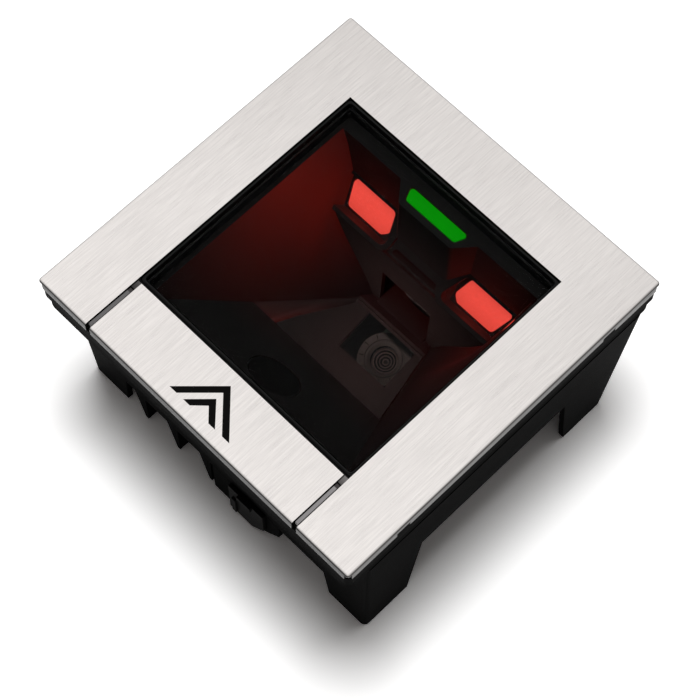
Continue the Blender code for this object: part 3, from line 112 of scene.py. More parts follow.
def newTree(name, kind, inputs, outputs):
    tree = bpy.data.node_groups.new(name, kind)
    for side, sockets in (("INPUT", inputs), ("OUTPUT", outputs)):
        for label, socketKind in sockets.items():
            tree.interface.new_socket(label, in_out=side, socket_type="NodeSocket" + socketKind)
    return tree, putNode(tree, "NodeGroupInput").outputs, putNode(tree, "NodeGroupOutput")


def newMaterial(name, **values):
    material = bpy.data.materials.new(name)
    material.use_nodes = True
    tree = material.node_tree
    putNode(tree, "ShaderNodeTexCoord")
    setInputs(tree.nodes["Principled BSDF"], **values)
    return material, tree, tree.nodes["Principled BSDF"]


def coordsOf(tree, kind="Object"):
    return tree.nodes["Texture Coordinate"].outputs[kind]


def axesOf(tree, kind="Object"):
    return putNode(tree, "ShaderNodeSeparateXYZ", Vector=coordsOf(tree, kind)).outputs


def addGroup(tree, group, **values):
    return putNode(tree, "ShaderNodeGroup", node_tree=group, Place=coordsOf(tree), **values).outputs


def addBump(tree, shader, height, distance):
    bump = putNode(tree, "ShaderNodeBump", Strength=1.0, Distance=distance, Height=height)
    setInputs(shader, Normal=bump.outputs["Normal"])


def scaled(colour, share):
    return tuple(share * part for part in colour)


layout = {"across": 220, "down": 190}


def arrangeNodes(tree):
    # sets the nodes out in columns, each to the left of what it feeds
    column = {node.name: 0 for node in tree.nodes}
    for _ in tree.nodes:
        for link in tree.links:
            start, end = link.from_node.name, link.to_node.name
            column[start] = max(column[start], column[end] + 1)
    filled = {}
    for node in tree.nodes:
        place = column[node.name]
        node.location = (-layout["across"] * place, -layout["down"] * filled.get(place, 0))
        filled[place] = filled.get(place, 0) + 1


# shared effects

moulding = {"cloudScale": 38.0, "sway": 0.22}
brushing = {
    "stretch": (1.0, 0.03, 1.0),  # the scratches run along Y
    "driftScale": 9.0,
    "band": (0.3, 0.7),
    "streakShare": 0.7,
    "driftShare": 0.3,
    "sway": 0.2,
}
speckShare = 0.09  # of a cell's width


def newGrain(name):
    inputs = {"Place": "Vector", "Grain Size": "Float", "Base Roughness": "Float", "Dark": "Color",
              "Light": "Color"}
    outputs = {"Colour": "Color", "Roughness": "Float", "Height": "Float"}
    return newTree(name, "ShaderNodeTree", inputs, outputs)


def closeGrain(tree, come, go, tone, wave, sway, height):
    # a colour between dark and light, and a roughness that sways round its base
    raised = mathNode(tree, "MULTIPLY_ADD", wave, sway, come["Base Roughness"])
    setInputs(go, Colour=mixColour(tree, tone, come["Dark"], come["Light"]),
              Roughness=mathNode(tree, "SUBTRACT", raised, sway / 2), Height=height)


def makeMouldedGrain(settings):
    # spark-eroded texture of a moulded plastic, with faint flow clouds
    tree, come, go = newGrain("mouldedGrain")
    scale = mathNode(tree, "DIVIDE", 1.0, come["Grain Size"])
    grain = noise(tree, come["Place"], scale, detail=3.0, roughness=0.6)
    clouds = noise(tree, come["Place"], settings["cloudScale"], detail=4.0, roughness=0.55)
    half = mathNode(tree, "MULTIPLY", mathNode(tree, "ADD", grain, clouds), 0.5)
    closeGrain(tree, come, go, half, half, settings["sway"], grain)
    return tree


def makeBrushedGrain(settings):
    # long fine scratches with a broad drift in tone
    tree, come, go = newGrain("brushedGrain")
    drawn = vectorNode(tree, "MULTIPLY", come["Place"], settings["stretch"])
    scale = mathNode(tree, "DIVIDE", 1.0, come["Grain Size"])
    streak = spread(tree, noise(tree, drawn, scale, detail=4.0, roughness=0.7), *settings["band"])
    drift = spread(tree, noise(tree, come["Place"], settings["driftScale"]), *settings["band"])
    weight = mathNode(tree, "MULTIPLY", drift, settings["driftShare"])
    tone = mathNode(tree, "MULTIPLY_ADD", streak, settings["streakShare"], weight)
    closeGrain(tree, come, go, tone, streak, settings["sway"], streak)
    return tree


def makeFineDust(share):
    # sparse pale specks that settle on dark and clear surfaces
    tree, come, go = newTree("fineDust", "ShaderNodeTree",
                             {"Place": "Vector", "Speck Size": "Float", "Amount": "Float"}, {"Mask": "Float"})
    cells = cellsOf(tree, come["Place"], mathNode(tree, "DIVIDE", 1.0, come["Speck Size"]))
    near = mathNode(tree, "LESS_THAN", cells, share)
    setInputs(go, Mask=mathNode(tree, "MULTIPLY", near, come["Amount"]))
    return tree


def fading(tree, come, distance):
    # 1 at the source, softly less with the distance, and none past the reach
    square = mathNode(tree, "POWER", distance, 2.0)
    soft = mathNode(tree, "POWER", come["Softness"], 2.0)
    share = mathNode(tree, "DIVIDE", soft, mathNode(tree, "ADD", square, soft))
    used = mathNode(tree, "DIVIDE", distance, come["Reach"])
    left = mathNode(tree, "MAXIMUM", mathNode(tree, "SUBTRACT", 1.0, used), 0.0)
    return mathNode(tree, "MULTIPLY", share, left)


def makeWindowLight():
    # what one lit window throws on a surface: stronger when near and when the two face each other
    inputs = {"Place": "Vector", "Facing": "Vector", "Centre": "Vector", "Aim": "Vector", "Softness": "Float",
              "Spill": "Float", "Wrap": "Float", "Reach": "Float"}
    tree, come, go = newTree("windowLight", "ShaderNodeTree", inputs, {"Amount": "Float"})
    toward = vectorNode(tree, "SUBTRACT", come["Centre"], come["Place"])
    way = vectorNode(tree, "NORMALIZE", toward)
    catch = vectorNode(tree, "DOT_PRODUCT", way, come["Facing"])
    caught = mathNode(tree, "MAXIMUM", mathNode(tree, "ADD", catch, come["Wrap"]), 0.0)
    leave = vectorNode(tree, "DOT_PRODUCT", way, come["Aim"])
    sent = mathNode(tree, "MAXIMUM", mathNode(tree, "MULTIPLY", leave, -1.0), come["Spill"])
    weight = fading(tree, come, vectorNode(tree, "LENGTH", toward))
    setInputs(go, Amount=mathNode(tree, "MULTIPLY", mathNode(tree, "MULTIPLY", caught, sent), weight))
    return tree


def makeSideWash():
    # broad light on the faces that look one way, fading with the distance from a point
    inputs = {"Place": "Vector", "Facing": "Vector", "Centre": "Vector", "Side": "Vector", "Softness": "Float",
              "Reach": "Float"}
    tree, come, go = newTree("sideWash", "ShaderNodeTree", inputs, {"Amount": "Float"})
    looks = vectorNode(tree, "DOT_PRODUCT", come["Facing"], come["Side"])
    turned = mathNode(tree, "MAXIMUM", looks, 0.0)
    weight = fading(tree, come, vectorNode(tree, "DISTANCE", come["Place"], come["Centre"]))
    setInputs(go, Amount=mathNode(tree, "MULTIPLY", turned, weight))
    return tree


mouldedGrain = makeMouldedGrain(moulding)
brushedGrain = makeBrushedGrain(brushing)
fineDust = makeFineDust(speckShare)
windowLight = makeWindowLight()
sideWash = makeSideWash()
print("shared effects ready")

# finishes; tones are linear, sizes are in metres

plastics = {
    "caseBlack": {"dark": 0.003, "light": 0.007, "rough": 0.5, "grain": 0.0005, "depth": 0.00005,
                  "shine": 0.0015},
    "bezelBlack": {"dark": 0.003, "light": 0.008, "rough": 0.42, "grain": 0.0004, "depth": 0.00003,
                   "shine": 0.0015},
    "tubBlack": {"dark": (0.002, 0.0019, 0.0019), "light": (0.005, 0.0048, 0.0047), "rough": 0.5,
                 "grain": 0.0006, "depth": 0.00004, "shine": 0.004, "dust": 0.01, "speck": 0.0012,
                 "dustTone": (0.25, 0.24, 0.22)},
    "coverBlack": {"dark": 0.004, "light": 0.01, "rough": 0.4, "grain": 0.0004, "depth": 0.00004,
                   "shine": 0.01},
    "sealRubber": {"dark": 0.004, "light": 0.008, "rough": 0.62, "grain": 0.0003, "depth": 0.00002,
                   "shine": 0.15},
    "paneEdge": {"dark": 0.001, "light": 0.002, "rough": 0.6, "grain": 0.0003, "depth": 0.00001,
                 "shine": 0.02},
    "stripDiffuser": {"dark": (0.2, 0.192, 0.194), "light": (0.27, 0.26, 0.262), "rough": 0.35,
                      "grain": 0.0005, "depth": 0.00001, "shine": 0.5},
    "holderDark": {"dark": (0.001, 0.0008, 0.0008), "light": (0.003, 0.0024, 0.0023), "rough": 0.4,
                   "grain": 0.0005, "depth": 0.00002, "shine": 0.02},
    "socketGrey": {"dark": (0.03, 0.03, 0.032), "light": (0.05, 0.05, 0.052), "rough": 0.4, "grain": 0.0004,
                   "depth": 0.00003, "shine": 0.5},
    "barrelPale": {"dark": (0.12, 0.098, 0.09), "light": (0.22, 0.18, 0.165), "rough": 0.4, "grain": 0.0006,
                   "depth": 0.00002, "shine": 0.02},
    "barrelDark": {"dark": (0.004, 0.0035, 0.0035), "light": (0.009, 0.008, 0.008), "rough": 0.45,
                   "grain": 0.0005, "depth": 0.00002, "shine": 0.03},
    "filterDark": {"dark": 0.0015, "light": 0.0025, "rough": 0.45, "grain": 0.002, "depth": 0.000002,
                   "shine": 0.002},
    "lensRing": {"dark": (0.2, 0.15, 0.138), "light": (0.32, 0.25, 0.23), "rough": 0.3, "grain": 0.0004,
                 "depth": 0.00001, "shine": 0.5},
    "pupilDark": {"dark": (0.01, 0.006, 0.005), "light": (0.02, 0.012, 0.011), "rough": 0.25, "grain": 0.0004,
                  "depth": 0.00001, "shine": 0.05},
    "tickDark": {"dark": (0.004, 0.003, 0.003), "light": (0.008, 0.006, 0.006), "rough": 0.4, "grain": 0.0004,
                 "depth": 0.00001, "shine": 0.02},
}


def addGrain(tree, group, settings):
    return addGroup(tree, group, Grain_Size=settings["grain"], Base_Roughness=settings["rough"],
                    Dark=settings["dark"], Light=settings["light"])


def closeSurface(tree, shader, colour, grain, settings):
    setInputs(shader, Base_Color=colour, Roughness=grain["Roughness"])
    addBump(tree, shader, grain["Height"], settings["depth"])


def addDust(tree, settings):
    return addGroup(tree, fineDust, Amount=settings["dust"], Speck_Size=settings["speck"])["Mask"]


def mouldedPlastic(name, settings):
    material, tree, shader = newMaterial(name, Specular_IOR_Level=settings["shine"])
    grain = addGrain(tree, mouldedGrain, settings)
    colour = grain["Colour"]
    if "dust" in settings:
        colour = mixColour(tree, addDust(tree, settings), colour, settings["dustTone"])
    closeSurface(tree, shader, colour, grain, settings)
    return material


metals = {
    "brushedSteel": {"dark": (0.69, 0.655, 0.635), "light": (0.985, 0.94, 0.912), "rough": 0.34,
                     "grain": 0.0005, "depth": 0.000012,
                     "polish": 0.16, "polishSpan": (-0.076, 0.076),  # from the front edge to the back, along Y
                     "side": 0.085, "farSide": 0.3,  # painted shade: tone of upright faces to the right, and the share of it on the other upright faces
                     "upright": (0.6, 0.98), "turned": (0.3, 0.9)},  # bands of the normal's Z and X
    # a very dark metal for the camera bracket
    "blackenedSheet": {"dark": (0.012, 0.011, 0.011), "light": (0.022, 0.02, 0.02), "rough": 0.5,
                       "grain": 0.0004, "depth": 0.00001},
    "screwSteel": {"dark": (0.35, 0.35, 0.36), "light": (0.55, 0.55, 0.55), "rough": 0.35, "grain": 0.0002,
                   "depth": 0.000008},
    "contactGold": {"dark": (0.6, 0.42, 0.16), "light": (0.85, 0.62, 0.27), "rough": 0.3, "grain": 0.0002,
                    "depth": 0.000004},
}


def brushedMetal(name, settings):
    material, tree, shader = newMaterial(name, Metallic=1.0)
    grain = addGrain(tree, brushedGrain, settings)
    colour = grain["Colour"]
    if "polish" in settings:
        # the steel is brighter at the front edge and duller towards the back, along Y
        towardBack = spread(tree, axesOf(tree)[1], *settings["polishSpan"])
        backDimming = mixColour(tree, towardBack, 1.0, 1.0 - settings["polish"])
        colour = mixColour(tree, 1.0, colour, backDimming, "MULTIPLY")
    if "side" in settings:
        # painted shade: bent edges and other upright faces are darker than the ground top, those facing right
        # less than the rest
        facing = axesOf(tree, "Normal")
        across = mixColour(tree, spread(tree, facing[0], *settings["turned"]),
                           settings["farSide"] * settings["side"], settings["side"])
        paintedSideShade = mixColour(tree, 1.0, colour, across, "MULTIPLY")
        colour = mixColour(tree, spread(tree, facing[2], *settings["upright"]), paintedSideShade, colour)
    closeSurface(tree, shader, colour, grain, settings)
    return material


glasses = {
    "windowPane": {"index": 1.04, "tint": (0.98, 0.985, 0.98), "dust": 0.35, "speck": 0.004,
                   "dustRough": 0.4},
    "lensGlass": {"index": 1.06, "tint": (0.96, 0.9, 0.88), "dust": 0.35, "speck": 0.004,
                  "dustRough": 0.4},
}


def clearGlass(name, settings):
    # light passes straight to what lies behind the pane
    material, tree, shader = newMaterial(name, IOR=settings["index"], Transmission_Weight=1.0,
                                         Base_Color=settings["tint"])
    setInputs(shader, Roughness=mathNode(tree, "MULTIPLY", addDust(tree, settings), settings["dustRough"]))
    through = putNode(tree, "ShaderNodeBsdfTransparent", Color=settings["tint"])
    light = putNode(tree, "ShaderNodeLightPath")
    mix = fedNode(tree, "ShaderNodeMixShader",
                  (light.outputs["Is Shadow Ray"], shader.outputs[0], through.outputs[0]))
    setInputs(tree.nodes["Material Output"], Surface=mix.outputs[0])
    return material


mirrors = {
    "mirrorCoat": {"clean": (0.9, 0.83, 0.81), "dusty": (0.6, 0.55, 0.54), "metal": 0.994, "rough": 0.02,
                   "dust": 0.5, "speck": 0.003, "dustRough": 0.3},
}


def mirrorCoat(name, settings):
    material, tree, shader = newMaterial(name, Metallic=settings["metal"])
    specks = addDust(tree, settings)
    setInputs(shader, Base_Color=mixColour(tree, specks, settings["clean"], settings["dusty"]),
              Roughness=mathNode(tree, "MULTIPLY_ADD", specks, settings["dustRough"], settings["rough"]))
    return material


windows = {
    "redWindow": {"node": "light_window_left", "colour": (0.3, 0.02, 0.012), "glow": (1.0, 0.095, 0.072),
                  "strength": 0.62, "pattern": 0.0011},
    "greenWindow": {"node": "indicator_window", "colour": (0.0005, 0.05, 0.0005), "glow": (0.0, 0.29, 0.0),
                    "strength": 0.6, "pattern": 0.0007},
}
prisms = {
    "shade": -0.25,  # how much darker a prism is towards its edge
    "between": 0.55,  # tone between the prisms
    "glowBetween": 0.6,
    "lowGlow": 0.55,
    "below": 0.0015,  # where the lower, duller part starts under the node's foot
    "fullFrom": 0.55,  # share of the height from which the glow is full
    "frost": 120.0,
    "rough": 0.35,
    "sway": 0.2,
    "depth": 0.00004,
    "shine": 0.02,
}


def litWindow(name, settings):
    # frosted window with a fine prism pattern, lit from behind and brightest over its upper half
    material, tree, shader = newMaterial(name, Emission_Strength=settings["strength"],
                                         Specular_IOR_Level=prisms["shine"])
    cells = cellsOf(tree, coordsOf(tree), 1.0 / settings["pattern"])
    shade = mathNode(tree, "MULTIPLY_ADD", cells, prisms["shade"], 1.0)
    colour, glow = settings["colour"], settings["glow"]
    light = mixColour(tree, shade, scaled(glow, prisms["glowBetween"]), glow)
    low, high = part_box(settings["node"])
    full = low[2] + prisms["fullFrom"] * (high[2] - low[2])
    upper = spread(tree, axesOf(tree)[2], low[2] - prisms["below"], full)
    rough = mathNode(tree, "MULTIPLY_ADD", noise(tree, coordsOf(tree), prisms["frost"]), prisms["sway"],
                     prisms["rough"])
    setInputs(shader, Base_Color=mixColour(tree, shade, scaled(colour, prisms["between"]), colour),
              Emission_Color=mixColour(tree, upper, scaled(glow, prisms["lowGlow"]), light), Roughness=rough)
    addBump(tree, shader, cells, prisms["depth"])
    return material


boards = {
    "boardGreen": {"mask": (0.005, 0.026, 0.012), "spare": 0.8, "copper": 1.9, "pad": (0.55, 0.54, 0.5),
                   "padShare": 0.17, "padScale": 420.0, "lineScale": 260.0, "lineWidth": 0.03, "rough": 0.42,
                   "padRough": -0.1, "depth": 0.00003},
}


def circuitBoard(name, settings):
    # solder mask over copper lines, with small tinned pads
    material, tree, shader = newMaterial(name)
    mask = settings["mask"]
    lines = putNode(tree, "ShaderNodeTexBrick", Vector=coordsOf(tree), Scale=settings["lineScale"],
                    Mortar_Size=settings["lineWidth"], Color1=mask, Color2=scaled(mask, settings["spare"]),
                    Mortar=scaled(mask, settings["copper"])).outputs
    pads = cellsOf(tree, coordsOf(tree), settings["padScale"])
    dot = mathNode(tree, "LESS_THAN", pads, settings["padShare"])
    setInputs(shader, Base_Color=mixColour(tree, dot, lines["Color"], settings["pad"]), Metallic=dot,
              Roughness=mathNode(tree, "MULTIPLY_ADD", dot, settings["padRough"], settings["rough"]))
    addBump(tree, shader, lines["Fac"], settings["depth"])
    return material


inks = {"printedInk": {"colour": (0.0035, 0.0033, 0.0032), "thin": 1.8, "grain": 2500.0, "rough": 0.4,
                       "sway": 0.2, "shine": 0.01}}


def printedInk(name, settings):
    material, tree, shader = newMaterial(name, Specular_IOR_Level=settings["shine"])
    cloud = noise(tree, coordsOf(tree), settings["grain"])
    thin = scaled(settings["colour"], settings["thin"])
    setInputs(shader, Base_Color=mixColour(tree, cloud, settings["colour"], thin),
              Roughness=mathNode(tree, "MULTIPLY_ADD", cloud, settings["sway"], settings["rough"]))
    return material


finish = {}
for makeFinish, looks in ((mouldedPlastic, plastics), (brushedMetal, metals), (clearGlass, glasses),
                          (mirrorCoat, mirrors), (litWindow, windows), (circuitBoard, boards),
                          (printedInk, inks)):
    for name, settings in looks.items():
        finish[name] = makeFinish(name, settings)


def middleOf(node):
    low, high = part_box(node)
    return Vector([(low[i] + high[i]) / 2 for i in range(3)])


def baseColourOf(material):
    # the socket that takes the base colour, and what feeds it so far
    socket = material.node_tree.nodes["Principled BSDF"].inputs["Base Color"]
    return material.node_tree, socket, socket.links[0].from_socket


# the windows' and the mirror's light on the walls of the tub

glow = {
    "colour": (1.0, 0.04, 0.02),
    "strength": 0.15,
    "aim": (0, -0.72, 0.69),
    "softness": 0.026,
    "spill": 0.3,
    "wrap": 0.02,
    "reach": 0.07,
    "raise": 0.0015,  # how far over each window its light is taken from
    "wash": [
        {"centre": (-0.05, 0.016, 0.079), "side": (0.52, 0.0, 0.0), "softness": 0.034, "reach": 0.068},
        {"centre": (0.046, 0.02, 0.07), "side": (-0.06, 0.0, 0.0), "softness": 0.04, "reach": 0.1},
    ],
    "mirror": {"colour": (1.0, 0.5, 0.46), "side": (0.0, -0.33, 0.0), "softness": 0.026, "reach": 0.062},
}


def addLight(tree, group, settings, **values):
    return addGroup(tree, group, Facing=coordsOf(tree, "Normal"), Softness=settings["softness"],
                    Reach=settings["reach"], **values)["Amount"]


def litByWindows(material, settings):
    tree = material.node_tree
    aim = Vector(settings["aim"])
    parts = [addLight(tree, windowLight, settings, Aim=aim, Spill=settings["spill"], Wrap=settings["wrap"],
                      Centre=middleOf("light_window_" + side) + settings["raise"] * aim)
             for side in ("left", "right")]
    parts += [addLight(tree, sideWash, wash, Centre=wash["centre"], Side=wash["side"])
              for wash in settings["wash"]]
    whole = parts[0]
    for part in parts[1:]:
        whole = mathNode(tree, "ADD", whole, part)
    tint = mixColour(tree, whole, 0.0, settings["colour"])
    # what the fold mirror throws back onto the wall in front of it
    bounce = settings["mirror"]
    back = addLight(tree, sideWash, bounce, Centre=middleOf("fold_mirror"), Side=bounce["side"])
    warm = mixColour(tree, back, 0.0, bounce["colour"])
    setInputs(tree.nodes["Principled BSDF"], Emission_Color=mixColour(tree, 1.0, tint, warm, "ADD"),
              Emission_Strength=settings["strength"])


litByWindows(finish["tubBlack"], glow)

# the foot of the lens barrel stands in the shade of the port

portShade = {"node": "lens_barrel", "colour": (0.003, 0.0025, 0.0025), "start": 0.0026, "end": 0.0038}


def darkenFoot(material, settings):
    tree, socket, colour = baseColourOf(material)
    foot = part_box(settings["node"])[0][2]
    rise = spread(tree, axesOf(tree)[2], foot + settings["start"], foot + settings["end"])
    feed(socket, mixColour(tree, rise, settings["colour"], colour))


darkenFoot(finish["barrelPale"], portShade)

# light and shade in the slots beside the front plate

slotLight = {
    "node": "light_strip_right",
    "leftTone": 0.45,  # the strip on the left catches less light than the one on the right
    "toneSpan": 0.05,
    "edge": (0.72, 0.92),
    "endDark": 0.0014,
    "endSoft": 0.0003,
    "edgeColour": (0.014, 0.011, 0.011),
    "seatWidth": 1.2,  # as a share of the strip's
    "seatFrom": 0.0006,
    "seatSpan": 0.0032,
    "seatDark": (0.09, 0.085, 0.083),
    "seatLight": (0.19, 0.18, 0.177),
}


def slotShade(tree, settings):
    # tone by side, distance from the slot's middle as a share of its half width, Y, and Y of its back end
    low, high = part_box(settings["node"])
    along = axesOf(tree)
    tone = mixColour(tree, spread(tree, along[0], -settings["toneSpan"], settings["toneSpan"]),
                     settings["leftTone"], 1.0)
    away = mathNode(tree, "SUBTRACT", mathNode(tree, "ABSOLUTE", along[0]), (low[0] + high[0]) / 2)
    share = mathNode(tree, "DIVIDE", mathNode(tree, "ABSOLUTE", away), (high[0] - low[0]) / 2)
    return tone, share, along[1], high[1]


def shadeStrip(material, settings):
    tree, socket, base = baseColourOf(material)
    tone, share, y, back = slotShade(tree, settings)
    dark = back - settings["endDark"]
    edge = spread(tree, share, *settings["edge"])
    shade = mathNode(tree, "MAXIMUM", edge, spread(tree, y, dark - settings["endSoft"], dark))
    colour = mixColour(tree, 1.0, base, tone, "MULTIPLY")
    feed(socket, mixColour(tree, shade, colour, settings["edgeColour"]))


def lightSeat(material, settings):
    tree, socket, base = baseColourOf(material)
    tone, share, y, back = slotShade(tree, settings)
    start = back + settings["seatFrom"]
    end = start + settings["seatSpan"]
    rise = mixColour(tree, spread(tree, y, start, end), settings["seatDark"], settings["seatLight"])
    lit = mixColour(tree, 1.0, rise, tone, "MULTIPLY")
    within = mathNode(tree, "MULTIPLY", mathNode(tree, "GREATER_THAN", y, start),
                      mathNode(tree, "LESS_THAN", y, end))
    spot = mathNode(tree, "MULTIPLY", mathNode(tree, "LESS_THAN", share, settings["seatWidth"]), within)
    feed(socket, mixColour(tree, spot, base, lit))


shadeStrip(finish["stripDiffuser"], slotLight)
lightSeat(finish["bezelBlack"], slotLight)
print("finishes ready:", len(finish))

finishOfNode = {
    "brushedSteel": ["top_frame", "front_plate"],
    "bezelBlack": ["bezel_frame"],
    "caseBlack": ["housing", "base_cover", "sounder"],
    "coverBlack": ["cable_cover"],
    "tubBlack": ["optics_tub", "mirror_clip"],
    "sealRubber": ["window_gasket"],
    "stripDiffuser": ["light_strip_left", "light_strip_right"],
    "windowPane": ["window_glass"],
    "mirrorCoat": ["fold_mirror"],
    "redWindow": ["light_window_left", "light_window_right"],
    "greenWindow": ["indicator_window"],
    "filterDark": ["sensor_window"],
    "barrelPale": ["lens_barrel"],
    "lensGlass": ["lens_glass"],
    "holderDark": ["lens_holder"],
    "boardGreen": ["light_board_left", "light_board_right", "indicator_board", "sensor_board", "image_board",
                   "main_board"],
    "blackenedSheet": ["camera_bracket"],
    "socketGrey": ["interface_socket"],
    "screwSteel": [name for name in nodes if "screw" in name],
}

for look, names in finishOfNode.items():
    for name in names:
        materials = nodes[name].data.materials
        materials.clear()
        materials.append(finish[look])
print("nodes dressed")

# new pieces, each hung under the root body in place of the nodes that it hides


def newObject(name, data):
    made = bpy.data.objects.new(name, data)
    bpy.context.scene.collection.objects.link(made)
    return made


def addPiece(name, mesh, replaced=()):
    piece = newObject(name, mesh)
    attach(piece, "root")
    if replaced:
        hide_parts(*replaced)
    return piece


mergeGap = 0.000002  # metres


def meshFrom(work, name):
    # a plain mesh with its faces pointing outwards
    bmesh.ops.recalc_face_normals(work, faces=work.faces)
    mesh = bpy.data.meshes.new(name)
    work.to_mesh(mesh)
    work.free()
    return mesh


def mergeClose(work):
    bmesh.ops.remove_doubles(work, verts=work.verts, dist=mergeGap)


# solids drawn with soft curves and slightly broken edges

usual = {
    "smooth": 30,  # degrees, as are the next two
    "flat": 0.3,
    "bevelOver": 5,  # how much sharper than a smooth edge one has to be to be broken
    "edge": 0.0,
    "segments": 2,
    "turnedFrom": 0.5,
}
refined = {
    "opticsTub": {"node": "optics_tub", "smooth": 28, "edge": 0.00022},
    "housingShell": {"node": "housing", "edge": 0.0003},
    "bezelRim": {"node": "bezel_frame", "edge": 0.00025},
    "cablePlate": {"node": "cable_cover", "edge": 0.0002},
    "basePlate": {"node": "base_cover", "edge": 0.0002},
    "topSheet": {"node": "top_frame", "smooth": 40},
    "frontSheet": {"node": "front_plate", "smooth": 40},
    "roundFilter": {"node": "sensor_window", "edge": 0.00015},
    "lensBarrel": {"node": "lens_barrel", "edge": 0.0001, "other": "barrelDark", "facing": (0, -1, 0)},
    "windowPane": {"node": "window_glass", "other": "paneEdge", "facing": (0, 0, 1), "bothWays": True},
    "lensHolder": {"node": "lens_holder", "edge": 0.0002},
    "lensDome": {"node": "lens_glass", "smooth": 50},
    "sounderCan": {"node": "sounder", "edge": 0.0002},
    "clipBar": {"node": "mirror_clip", "edge": 0.00015},
    "leftStrip": {"node": "light_strip_left", "edge": 0.0002},
    "rightStrip": {"node": "light_strip_right", "edge": 0.0002},
    "leftRedWindow": {"node": "light_window_left", "edge": 0.00015},
    "rightRedWindow": {"node": "light_window_right", "edge": 0.00015},
    "greenWindow": {"node": "indicator_window", "edge": 0.00015},
    "plugSocket": {"node": "interface_socket", "edge": 0.0002},
}


def refineNode(name, settings):
    node = settings["node"]
    work = bmesh.new()
    work.from_mesh(nodes[node].data)
    mergeClose(work)
    bmesh.ops.dissolve_limit(work, angle_limit=math.radians(settings["flat"]), verts=work.verts,
                             edges=work.edges)
    mesh = meshFrom(work, name)
    mesh.materials.append(nodes[node].data.materials[0])
    if "other" in settings:
        # faces that look away from the named direction take the other finish
        mesh.materials.append(finish[settings["other"]])
        for face in mesh.polygons:
            along = face.normal.dot(Vector(settings["facing"]))
            turned = abs(along) if settings.get("bothWays") else along
            face.material_index = 0 if turned > settings["turnedFrom"] else 1
    piece = addPiece(name, mesh, [node])
    if settings["edge"]:
        edge = piece.modifiers.new("brokenEdge", "BEVEL")
        edge.width = settings["edge"]
        edge.segments = settings["segments"]
        edge.limit_method = "ANGLE"
        edge.angle_limit = math.radians(settings["smooth"] + settings["bevelOver"])
        edge.harden_normals = True
    mesh.shade_smooth()
    mesh.set_sharp_from_angle(angle=math.radians(settings["smooth"]))


for name, own in refined.items():
    refineNode(name, {**usual, **own})
print("refined pieces:", len(refined))

# shapes that repeat or follow a path


def newShape(name, **inputs):
    labels = {label.replace("_", " "): kind for label, kind in inputs.items()}
    return newTree(name, "GeometryNodeTree", {**labels, "Finish": "Material"}, {"Geometry": "Geometry"})


def passOn(tree, kind, source, **values):
    # a node that takes a shape in its first input and hands it on
    node = putNode(tree, kind, **values)
    feed(node.inputs[0], source)
    return node.outputs[0]


def closeShape(tree, come, go, source, smooth=True):
    # the last nodes of every shape: plain mesh, shading and finish
    real = passOn(tree, "GeometryNodeRealizeInstances", source)
    shade = passOn(tree, "GeometryNodeSetShadeSmooth", real, Shade_Smooth=smooth)
    setInputs(go, Geometry=passOn(tree, "GeometryNodeSetMaterial", shade, Material=come["Finish"]))
    return tree


def sweepAlong(tree, path, radius, steps, caps=False):
    tube = putNode(tree, "GeometryNodeCurvePrimitiveCircle", Resolution=steps, Radius=radius).outputs[0]
    return passOn(tree, "GeometryNodeCurveToMesh", path, Profile_Curve=tube, Fill_Caps=caps)


def lifted(tree, shape, height, **values):
    up = putNode(tree, "ShaderNodeCombineXYZ", Z=height).outputs[0]
    return passOn(tree, "GeometryNodeTransform", shape, Translation=up, **values)


def growMesh(name, tree, look, sharp=32, **values):
    # runs a shape once and keeps the plain mesh that it makes
    values["Finish"] = finish[look]
    seed = newObject(name, bpy.data.meshes.new(name + "Seed"))
    modifier = seed.modifiers.new("shape", "NODES")
    modifier.node_group = tree
    for socket in tree.interface.items_tree:
        label = socket.name.replace(" ", "_")
        if socket.in_out == "INPUT" and label in values:
            modifier[socket.identifier] = values[label]
    graph = bpy.context.evaluated_depsgraph_get()
    mesh = bpy.data.meshes.new_from_object(seed.evaluated_get(graph))
    mesh.name = name
    bpy.data.objects.remove(seed)
    mesh.set_sharp_from_angle(angle=math.radians(sharp))
    return mesh


def placeMesh(mesh, place, turn=None):
    if turn:
        mesh.transform(turn)
    mesh.transform(Matrix.Translation(place))
    return mesh


faceFront = Matrix.Rotation(-math.pi / 2, 4, "X")  # for rings and ticks that are made lying flat

# screws with a domed head, a cross recess and a wound thread

screwForm = {
    "share": 0.84,  # core of the thread as a share of the shank's radius
    "pitch": 0.36,  # as a share of the head's radius
    "rim": 0.55,  # height of the straight rim as a share of the head's rise
    "top": 0.72,  # flat top as a share of the head's radius
    "headSteps": 28,
    "recess": (1.15, 0.22, 1.2),  # length and width by the head's radius, depth by its rise
    "shankSteps": 16,
    "thread": 0.8,  # wound part of the shank
    "threadEnd": -0.95,
    "turnSteps": 14,
    "ridge": 0.3,  # radius of the wound ridge by the pitch
    "ridgeSteps": 4,
    "headRim": 0.85,  # share of the head's radius past which the node's points belong to its rim
}


